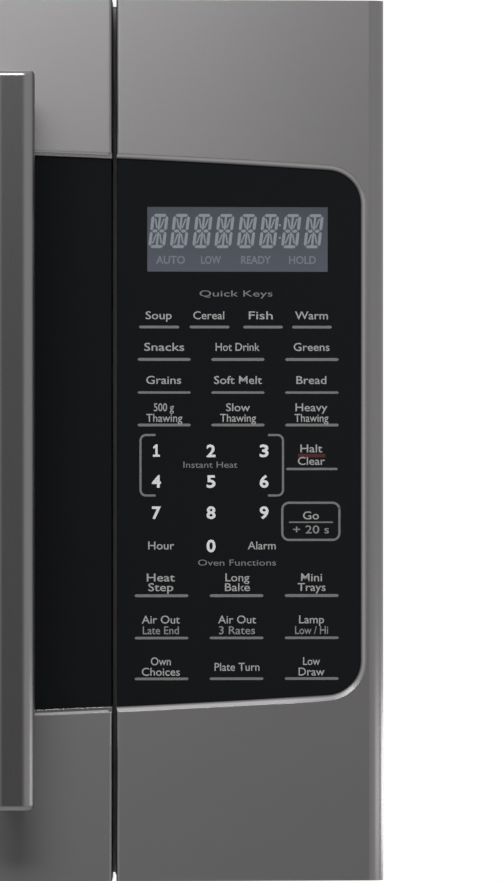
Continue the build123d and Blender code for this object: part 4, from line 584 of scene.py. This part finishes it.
def band_bevel():
    """Closed strip with three long faces: the bevel, its foot and its back."""
    shape = bmesh.new()
    rails = []
    for margin, inset in ((STEP_WIDTH, BEVEL_TOP), (BEVEL_FOOT, STEP_DEPTH), (STEP_WIDTH, STEP_DEPTH)):
        rails.append([shape.verts.new(on_panel(x, z, inset)) for x, z in band_rail(margin)])
    last = len(rails[0]) - 1
    for first, second in ((0, 1), (1, 2), (2, 0)):
        for place in range(last):
            near = (rails[first][place], rails[first][place + 1])
            far = (rails[second][place + 1], rails[second][place])
            shape.faces.new(near + far)
    for place in (0, last):
        shape.faces.new([rail[place] for rail in rails])
    return from_bmesh("door_band_bevel", shape)


piece("door_band_bevel", band_bevel(), stainless_front, "door")


# ---------------------------------------------------------------------------
# Coil spring that holds the latch down, in the door
# ---------------------------------------------------------------------------
WIRE = 0.35 * MM                # radius of its wire
WIRE_SIDES = 8
COIL_TURNS = 11
COIL_STEPS = 18                 # places on each turn
END_CLOSENESS = 0.75            # how much closer the end turns lie than the middle ones


def coil_spring(low, high):
    """Coil that fills the box between two corners."""
    radius = (high[0] - low[0]) / 2 - WIRE
    rise = high[2] - low[2] - 2 * WIRE
    foot = Vector(((low[0] + high[0]) / 2, (low[1] + high[1]) / 2, low[2] + WIRE))
    up = Vector((0.0, 0.0, 1.0))
    shape = bmesh.new()
    rings = []
    for step in range(COIL_TURNS * COIL_STEPS + 1):
        share = step / (COIL_TURNS * COIL_STEPS)
        lift = share - END_CLOSENESS * math.sin(2 * math.pi * share) / (2 * math.pi)
        turn = 2 * math.pi * COIL_TURNS * share
        outward = Vector((math.cos(turn), math.sin(turn), 0.0))
        middle = foot + up * rise * lift + outward * radius
        around_wire = [2 * math.pi * side / WIRE_SIDES for side in range(WIRE_SIDES)]
        places = [middle + WIRE * (math.cos(angle) * outward + math.sin(angle) * up) for angle in around_wire]
        rings.append([shape.verts.new(place) for place in places])
    for ring, following in zip(rings, rings[1:]):
        for side in range(WIRE_SIDES):
            beside = (side + 1) % WIRE_SIDES
            shape.faces.new((ring[side], ring[beside], following[beside], following[side]))
    shape.faces.new(rings[0])
    shape.faces.new(rings[-1])
    mesh = from_bmesh("latch_coil", shape)
    mesh.shade_smooth()
    return mesh


spring_low, spring_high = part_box("latch_spring")
latch_coil = piece("latch_coil", coil_spring(spring_low, spring_high), bright_steel, "latch")
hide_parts("latch_spring")
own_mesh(latch_coil)


# ---------------------------------------------------------------------------
# Marks printed on the control glass
# ---------------------------------------------------------------------------
INK = GLASS_INSET - 0.03        # face of the printed marks
INK_BACK = GLASS_INSET + 0.02   # their back, just inside the glass
BAR_STEP = 6.0                  # length of a straight part of a line that follows the bow
CAP_SHARE = 0.729               # height of a capital in the built-in font, as a share of its size
FONT_STEPS = 3                  # straight parts on each curve of a letter


class Print:
    """Flat marks on the control glass that end as one mesh."""

    def __init__(self, face=INK, back=INK_BACK):
        self.shape = bmesh.new()
        self.face = face
        self.back = back

    def outline(self, points):
        """Solid mark with that outline, given anticlockwise as (x, z) in millimetres."""
        front = [self.shape.verts.new(on_panel(x, z, self.face)) for x, z in points]
        back = [self.shape.verts.new(on_panel(x, z, self.back)) for x, z in points]
        self.shape.faces.new(front)
        self.shape.faces.new(list(reversed(back)))
        count = len(points)
        for index in range(count):
            following = (index + 1) % count
            self.shape.faces.new((front[index], back[index], back[following], front[following]))

    def bar(self, x, z, thick, rounded=True):
        """Horizontal line between two x, centred on z, in steps that follow the bow."""
        steps = max(1, round((x[1] - x[0]) / BAR_STEP))
        half = thick / 2
        tip = half if rounded else 0.0
        edge = [(x[0] + tip + (x[1] - x[0] - 2 * tip) * step / steps, z - half) for step in range(steps + 1)]
        top = [(at, z + half) for at, _ in reversed(edge)]
        ends = [(x[1], z)] if rounded else []
        start = [(x[0], z)] if rounded else []
        self.outline(edge + ends + top + start)

    def path(self, points, thick):
        """Line of even width along points (x, z), open."""
        half = thick / 2
        sides = []
        for index, point in enumerate(points):
            before = Vector(points[max(index - 1, 0)])
            after = Vector(points[min(index + 1, len(points) - 1)])
            run = (after - before).normalized()
            sides.append((Vector(point), Vector((-run.y, run.x)) * half))
        for (p, n), (q, m) in zip(sides, sides[1:]):
            self.outline([tuple(p - n), tuple(q - m), tuple(q + m), tuple(p + n)])

    def text(self, body, centre, cap, width, bold=0.0):
        """Words centred on a point, with capitals of that height, fitted to a width."""
        curve = bpy.data.curves.new("words", "FONT")
        curve.body = body
        curve.size = 1.0
        curve.offset = bold
        curve.resolution_u = FONT_STEPS
        holder = bpy.data.objects.new("words", curve)
        bpy.context.scene.collection.objects.link(holder)
        bpy.context.view_layer.update()
        evaluated = holder.evaluated_get(bpy.context.evaluated_depsgraph_get())
        flat = bpy.data.meshes.new_from_object(evaluated)
        bpy.data.objects.remove(holder)
        bpy.data.curves.remove(curve)
        low = min(vertex.co.x for vertex in flat.vertices)
        high = max(vertex.co.x for vertex in flat.vertices)
        tall = cap / CAP_SHARE
        wide = width / (high - low)
        start = len(self.shape.verts)
        self.shape.from_mesh(flat)
        self.shape.verts.ensure_lookup_table()
        for vertex in self.shape.verts[start:]:
            x = centre[0] + (vertex.co.x - (low + high) / 2) * wide
            z = centre[1] + (vertex.co.y - CAP_SHARE / 2) * tall
            vertex.co = on_panel(x, z, self.face)
        bpy.data.meshes.remove(flat)

    def finish(self, name, material):
        """The marks become one piece on the control glass."""
        mesh = from_bmesh(name, self.shape)
        return piece(name, mesh, material, "oven")


def px_point(px, py):
    """Place (x, z) in millimetres of a pixel of the photograph."""
    return across(px), height(py)


numerals = Print()
words = Print()
dim_words = Print()
captions = Print()
rules = Print()

DIGIT = 12.4 * PX
DIGIT_WIDTH = 9.0 * PX
DIGIT_BOLD = 0.028
ONE_WIDTH = 7.0 * PX
# Outline of the figure 1, with its flag and foot, in shares of its width and height
ONE = (
    (-0.5, 0.0), (0.5, 0.0), (0.5, 0.17), (0.17, 0.17), (0.17, 1.0), (-0.06, 1.0),
    (-0.48, 0.80), (-0.40, 0.63), (-0.15, 0.74), (-0.15, 0.17), (-0.5, 0.17),
)
DIGIT_COLUMNS = (156.4, 211.0, 264.1)
DIGIT_ROWS = ((450.5, "123"), (481.1, "456"), (512.3, "789"), (545.6, " 0 "))
for py, digits in DIGIT_ROWS:
    for px, digit in zip(DIGIT_COLUMNS, digits):
        x, z = px_point(px, py)
        if digit == "1":
            numerals.outline([(x + ONE_WIDTH * u, z + DIGIT * (v - 0.5)) for u, v in ONE])
        elif digit != " ":
            numerals.text(digit, (x, z), DIGIT, DIGIT_WIDTH, DIGIT_BOLD)

# Words, row by row: the row, then each word with its middle column and its width, in pixels
KEY_WORDS = (
    (315.0, ("Soup", 158.7, 26), ("Cereal", 208.7, 31), ("Fish", 260.7, 24), ("Warm", 311.5, 33)),
    (346.6, ("Snacks", 164.2, 40), ("Hot Drink", 237.6, 44), ("Greens", 311.6, 36)),
    (379.7, ("Grains", 163.6, 35), ("Soft Melt", 238.0, 48), ("Bread", 311.4, 30)),
    (407.0, ("500 g", 163.8, 20), ("Slow", 238.0, 24), ("Heavy", 311.5, 32)),
    (417.6, ("Thawing", 164.3, 36), ("Thawing", 238.0, 36), ("Thawing", 311.5, 34)),
    (448.2, ("Halt", 311.4, 22)),
    (460.7, ("Clear", 311.4, 27)),
    (515.2, ("Go", 311.0, 16)),
    (545.2, ("Hour", 161.2, 26), ("Alarm", 261.7, 28)),
    (577.2, ("Heat", 160.8, 28), ("Long", 237.4, 24), ("Mini", 311.6, 21)),
    (586.9, ("Step", 160.8, 25), ("Bake", 237.4, 25), ("Trays", 311.6, 28)),
    (619.3, ("Air Out", 160.8, 38), ("Air Out", 237.0, 38), ("Lamp", 311.6, 25)),
    (661.0, ("Own", 160.8, 20), ("Low", 311.6, 17)),
    (666.7, ("Plate Turn", 237.0, 45)),
    (671.5, ("Choices", 160.8, 38), ("Draw", 311.6, 26)),
)
DIM_KEY_WORDS = (
    (529.3, ("+ 20 s", 311.0, 36)),
    (630.0, ("Late End", 160.8, 36), ("3 Rates", 237.0, 36), ("Low / Hi", 311.6, 33)),
)
CAPTIONS = (
    (293.2, ("Quick Keys", 236.0, 73)),
    (464.5, ("Instant Heat", 210.4, 54)),
    (562.4, ("Oven Functions", 237.0, 78)),
)
KEY_CAP = 8.3 * PX
KEY_BOLD = 0.006
CAPTION_CAP = 6.4 * PX
PRINTED = (
    (words, KEY_WORDS, KEY_CAP, KEY_BOLD),
    (dim_words, DIM_KEY_WORDS, KEY_CAP, KEY_BOLD),
    (captions, CAPTIONS, CAPTION_CAP, 0.0),
)
for group, rows, cap, bold in PRINTED:
    for py, *labels in rows:
        for body, px, width in labels:
            group.text(body, px_point(px, py), cap, width * PX, bold)

# Lines under the keys: the row, the thickness, and the left and right ends of its lines, in pixels
SHORT_LINES = ((138.8, 179.6), (189.3, 229.7), (242.9, 283.1), (291.9, 332.1))
UPPER_LINES = ((137.5, 190.9), (211.0, 264.7), (285.0, 339.0))
LOWER_LINES = ((134.4, 188.6), (209.4, 263.6), (284.6, 339.0))
CLEAR_LINES = ((286.0, 338.0),)
UNDERLINES = (
    (327.0, 2.7, SHORT_LINES), (359.4, 2.9, UPPER_LINES), (392.5, 2.3, UPPER_LINES),
    (425.0, 2.7, UPPER_LINES), (469.0, 2.3, CLEAR_LINES), (595.7, 2.9, LOWER_LINES),
    (638.0, 2.5, LOWER_LINES), (678.8, 2.6, LOWER_LINES),
)
for py, thick, lines in UNDERLINES:
    for left, right in lines:
        rules.bar((across(left), across(right)), height(py), thick * PX)


CORNER_PARTS = 6                # straight parts of a rounded corner


def corner_points(centre, radius, first, last):
    """Points of an arc round a centre, from one angle to another in degrees."""
    turns = [math.radians(first + (last - first) * part / CORNER_PARTS) for part in range(CORNER_PARTS + 1)]
    return [(centre[0] + radius * math.cos(turn), centre[1] + radius * math.sin(turn)) for turn in turns]


# Brackets round the upper number keys: side, column of the back and column of the tips
BRACKETS = ((-1, 140.5, 155.5), (1, 283.0, 268.0))
BRACKET_ROWS = (435.0, 495.5)
BRACKET_ROUND = 5.5 * PX
BRACKET_LINE = 2.1 * PX
top, bottom = (height(py) for py in BRACKET_ROWS)
for side, back_px, tip_px in BRACKETS:
    inner = across(back_px) - side * BRACKET_ROUND
    outward = 0 if side > 0 else 180
    upper = corner_points((inner, top - BRACKET_ROUND), BRACKET_ROUND, 90, outward)
    lower = corner_points((inner, bottom + BRACKET_ROUND), BRACKET_ROUND, outward, outward - side * 90)
    tip = across(tip_px)
    rules.path([(tip, top)] + upper + lower + [(tip, bottom)], BRACKET_LINE)

# Frame round the key that starts the oven, and the line between its two words
FRAME_COLUMNS = (282.3, 339.5)
FRAME_ROWS = (502.8, 540.0)
FRAME_ROUND = 6.7 * PX
FRAME_LINE = 2.2 * PX
frame_left, frame_right = (across(px) for px in FRAME_COLUMNS)
frame_top, frame_bottom = (height(py) for py in FRAME_ROWS)
FRAME_CORNERS = (               # anticlockwise: place, and which way each lies from the middle
    (frame_right, frame_top, 1, 1), (frame_left, frame_top, -1, 1),
    (frame_left, frame_bottom, -1, -1), (frame_right, frame_bottom, 1, -1),
)
ring = []
for quarter, (x, z, side, up) in enumerate(FRAME_CORNERS):
    middle = (x - side * FRAME_ROUND, z - up * FRAME_ROUND)
    ring += corner_points(middle, FRAME_ROUND, 90 * quarter, 90 * (quarter + 1))
rules.path(ring + ring[:2], FRAME_LINE)

DIVIDER_COLUMNS = (289.0, 333.0)
DIVIDER_ROW = 522.3
DIVIDER_LINE = 1.4 * PX
rules.bar([across(px) for px in DIVIDER_COLUMNS], height(DIVIDER_ROW), DIVIDER_LINE, rounded=False)

RED_COLUMNS = (298.0, 325.5)
RED_ROW = 455.6
RED_LINE = 3.6 * PX
red_rule = Print()
red_rule.bar([across(px) for px in RED_COLUMNS], height(RED_ROW), RED_LINE, rounded=False)

# Display: window, dim segments of eight characters, colon and four words
PANE_FACE = GLASS_INSET - 0.02
PANE_BACK = GLASS_INSET + 0.03
LIT_FACE = GLASS_INSET - 0.06   # the segments and words lie on the pane
LIT_BACK = GLASS_INSET - 0.03
WINDOW_COLUMNS = (147.3, 327.7)
WINDOW_ROWS = (207.0, 271.6)
STRIPS = 16                     # upright strips of the window, which follow the bow
window = Print(PANE_FACE, PANE_BACK)
window_left, window_right = (across(px) for px in WINDOW_COLUMNS)
window_top, window_bottom = (height(py) for py in WINDOW_ROWS)
for strip in range(STRIPS):
    left, right = (window_left + (window_right - window_left) * edge / STRIPS for edge in (strip, strip + 1))
    window.outline([(left, window_bottom), (right, window_bottom), (right, window_top), (left, window_top)])

segments = Print(LIT_FACE, LIT_BACK)
CHARACTERS = (158.4, 180.0, 202.4, 224.4, 246.9, 268.9, 291.3, 313.7)
CHARACTER_TOP = 215.4
CHARACTER_BOTTOM = 246.6
SLANT = 0.115
HALF_WIDE = 6.9 * PX
HALF_TALL = (CHARACTER_BOTTOM - CHARACTER_TOP) / 2 * PX
SEGMENT = 3.0 * PX              # thickness of the outer segments
STEM = 0.7                      # thickness of the middle stems, as a share of that
DIAGONAL = 0.5                  # thickness of the diagonals
DIAGONAL_START = (0.7, 0.9)     # where they start, in millimetres from the middle
DIAGONAL_END = 0.75             # how far they stop short of the corner, in thicknesses
ENDS = 0.32                     # how much shorter a segment is at each end
COLON_COLUMN = 279.8
COLON_ROWS = (225.0, 237.6)
COLON_RADIUS = 0.55
COLON_SIDES = 8


def segment_line(centre, start, end, thick):
    """One segment: a bar with pointed ends between two corners of the character, slanted."""
    first, last = Vector(start), Vector(end)
    run = (last - first).normalized()
    first, last = first + run * ENDS, last - run * ENDS
    side = Vector((-run.y, run.x)) * thick / 2
    tip = run * thick / 2
    points = [first, first + tip - side, last - tip - side, last, last - tip + side, first + tip + side]
    segments.outline([(centre[0] + p.x + p.y * SLANT, centre[1] + p.y) for p in points])


OUTER_SEGMENTS = (              # corners of the character that each one joins
    ((-1, 1), (1, 1)), ((-1, -1), (1, -1)), ((-1, 0), (-1, 1)), ((-1, -1), (-1, 0)),
    ((1, 0), (1, 1)), ((1, -1), (1, 0)), ((-1, 0), (0, 0)), ((0, 0), (1, 0)),
)
for px in CHARACTERS:
    centre = px_point(px, (CHARACTER_TOP + CHARACTER_BOTTOM) / 2)
    for start, end in OUTER_SEGMENTS:
        corners = [(side_x * HALF_WIDE, side_z * HALF_TALL) for side_x, side_z in (start, end)]
        segment_line(centre, *corners, SEGMENT)
    for side_z in (1, -1):
        segment_line(centre, (0, 0), (0, side_z * HALF_TALL), SEGMENT * STEM)
    for side_x, side_z in ((-1, 1), (1, 1), (-1, -1), (1, -1)):
        start = (side_x * DIAGONAL_START[0], side_z * DIAGONAL_START[1])
        end = (side_x * (HALF_WIDE - SEGMENT * DIAGONAL_END), side_z * (HALF_TALL - SEGMENT * DIAGONAL_END))
        segment_line(centre, start, end, SEGMENT * DIAGONAL)
for py in COLON_ROWS:
    x, z = px_point(COLON_COLUMN, py)
    around = [2 * math.pi * side / COLON_SIDES for side in range(COLON_SIDES)]
    dot = [(x + COLON_RADIUS * math.cos(turn), z + COLON_RADIUS * math.sin(turn)) for turn in around]
    segments.outline(dot)

DISPLAY_WORDS = (("AUTO", 156, 185), ("LOW", 201, 221), ("READY", 241, 271), ("HOLD", 289, 316))
DISPLAY_ROW = 259.6
DISPLAY_CAP = 8.0 * PX
DISPLAY_BOLD = 0.022
display_words = Print(LIT_FACE, LIT_BACK)
for body, left, right in DISPLAY_WORDS:
    middle = px_point((left + right) / 2, DISPLAY_ROW)
    display_words.text(body, middle, DISPLAY_CAP, (right - left) * PX, DISPLAY_BOLD)


def painted_display_glow():
    """Grey-blue pane of the display, painted lighter towards its foot as a glow."""
    finish = Finish("display_pane", (0.07, 0.085, 0.115), 0.35, Specular_IOR_Level=0.2)
    rise = finish.axes(finish.place)["Z"]
    haze = finish.noise((60, 60, 40), 3.0)
    # Painted glow: the pane is lighter towards its foot
    foot = finish.between(rise, window_top * MM, window_bottom * MM)
    shade = finish.mix(foot, (0.050, 0.058, 0.073), (0.071, 0.077, 0.098))
    finish.color(finish.mix(finish.between(haze, 0.4, 0.7, 0.0, 0.2), shade, (0.070, 0.082, 0.090)))
    return finish.material


numerals.finish("legend_numerals", printed("ink_white", (0.60, 0.60, 0.60)))
words.finish("legend_words", printed("ink_light", (0.30, 0.30, 0.30)))
dim_words.finish("legend_dim_words", printed("ink_medium", (0.20, 0.20, 0.202)))
captions.finish("legend_captions", printed("ink_dim", (0.155, 0.155, 0.158)))
rules.finish("legend_rules", printed("ink_rule", (0.145, 0.145, 0.147)))
red_rule.finish("legend_red_rule", printed("ink_red", (0.055, 0.010, 0.011)))
window.finish("display_pane", painted_display_glow())
segments.finish("display_segments", printed("segment_grey", (0.205, 0.225, 0.250)))
display_words.finish("display_words", printed("display_ink", (0.142, 0.150, 0.185)))


# ---------------------------------------------------------------------------
# Floor, light and background
# ---------------------------------------------------------------------------
FLOOR_Z = -1.3
FLOOR_RADIUS = 4.0
FLOOR_SIDES = 96
FADE = (1.0, 3.6)               # distances from the middle over which the floor turns white

floor_shape = bmesh.new()
bmesh.ops.create_circle(floor_shape, cap_ends=True, segments=FLOOR_SIDES, radius=FLOOR_RADIUS)
floor_mesh = from_bmesh("floor", floor_shape)
for vertex in floor_mesh.vertices:
    vertex.co.z = FLOOR_Z
floor = bpy.data.objects.new("floor", floor_mesh)
bpy.context.scene.collection.objects.link(floor)

paving = Finish("floor_pale", (0.62, 0.62, 0.61), 0.65)
speckle = paving.noise(60, 4.0)
paving.color(paving.mix(paving.between(speckle, 0.3, 0.7), (0.60, 0.60, 0.59), (0.64, 0.64, 0.63)))


def shader_mix(share, first, second):
    """Mix of two shaders of the floor."""
    node = paving.nodes.new("ShaderNodeMixShader")
    paving.links.new(share, node.inputs[0])
    paving.links.new(first.outputs[0], node.inputs[1])
    paving.links.new(second.outputs[0], node.inputs[2])
    return node


# The camera sees the floor run out into the white background, and looks through it from below.
ground = paving.axes(paving.place)
from_middle = paving.length(ground["X"], ground["Y"])
camera_ray = paving.nodes.new("ShaderNodeLightPath").outputs["Is Camera Ray"]
white = paving.nodes.new("ShaderNodeEmission")
fade = paving.math("MULTIPLY", paving.between(from_middle, *FADE), camera_ray)
faded = shader_mix(fade, paving.shader, white)
below = paving.nodes.new("ShaderNodeNewGeometry").outputs["Backfacing"]
see_through = paving.nodes.new("ShaderNodeBsdfTransparent")
paving.links.new(shader_mix(below, faded, see_through).outputs[0], paving.output.inputs["Surface"])
floor_mesh.materials.append(paving.material)

world = bpy.data.worlds.new("studio")
bpy.context.scene.world = world
world.use_nodes = True
tree = world.node_tree
background = tree.nodes["Background"]
background.inputs["Color"].default_value = (1.0, 1.0, 1.0, 1.0)
direction = tree.nodes.new("ShaderNodeTexCoord")
parts = tree.nodes.new("ShaderNodeSeparateXYZ")
tree.links.new(direction.outputs["Generated"], parts.inputs[0])


def glow(axis, low, high, to_low, to_high):
    """Strength of the studio by how far a direction points along an axis."""
    node = tree.nodes.new("ShaderNodeMapRange")
    node.interpolation_type = "SMOOTHSTEP"
    tree.links.new(parts.outputs[axis], node.inputs["Value"])
    for socket, number in zip(SPAN_SOCKETS, (low, high, to_low, to_high)):
        node.inputs[socket].default_value = number
    return node.outputs["Result"]


def brighter(first, second):
    """The larger of two strengths."""
    node = tree.nodes.new("ShaderNodeMath")
    node.operation = "MAXIMUM"
    tree.links.new(first, node.inputs[0])
    tree.links.new(second, node.inputs[1])
    return node.outputs[0]


# A white background all round for the camera and through glass. What lights the object, and shows
# in its metal, is white behind it, a dim room in front of it, a wall on each side and a soft ceiling.
DIM = 0.06
BACK_GLOW = 1.0
CEILING_GLOW = 0.8
WALL_GLOW = 0.61
back_and_ceiling = brighter(glow("Y", 0.9, 0.99, DIM, BACK_GLOW), glow("Z", 0.1, 0.9, DIM, CEILING_GLOW))
walls = brighter(glow("X", 0.1, 0.5, DIM, WALL_GLOW), glow("X", -0.1, -0.5, DIM, WALL_GLOW))
room = brighter(back_and_ceiling, walls)
ray = tree.nodes.new("ShaderNodeLightPath").outputs
white_for = brighter(ray["Is Camera Ray"], ray["Is Transmission Ray"])
tree.links.new(brighter(room, white_for), background.inputs["Strength"])


def area_light(name, place, target, size, power):
    """Soft rectangular lamp that faces a point."""
    data = bpy.data.lights.new(name, "AREA")
    data.shape = "RECTANGLE"
    data.size, data.size_y = size
    data.energy = power
    lamp = bpy.data.objects.new(name, data)
    lamp.location = place
    lamp.rotation_euler = (Vector(target) - Vector(place)).to_track_quat("-Z", "Y").to_euler()
    lamp.visible_camera = False
    bpy.context.scene.collection.objects.link(lamp)


# Name, place, point faced, size in metres and power in watts
area_light("key", (0.04, -1.8, 0.92), (0.2, -0.39, 0.1), (1.0, 0.45), 21.5)
area_light("edge", (0.53, -0.20, -0.172), (0.38, -0.35, -0.172), (0.16, 0.07), 0.1)
area_light("edge_front", (0.60, -0.42, -0.172), (0.38, -0.375, -0.172), (0.16, 0.07), 0.05)
area_light("back", (0.3, 1.8, 1.3), (0.0, 0.0, 0.0), (1.6, 1.2), 10)

bpy.context.scene.view_settings.view_transform = "Standard"
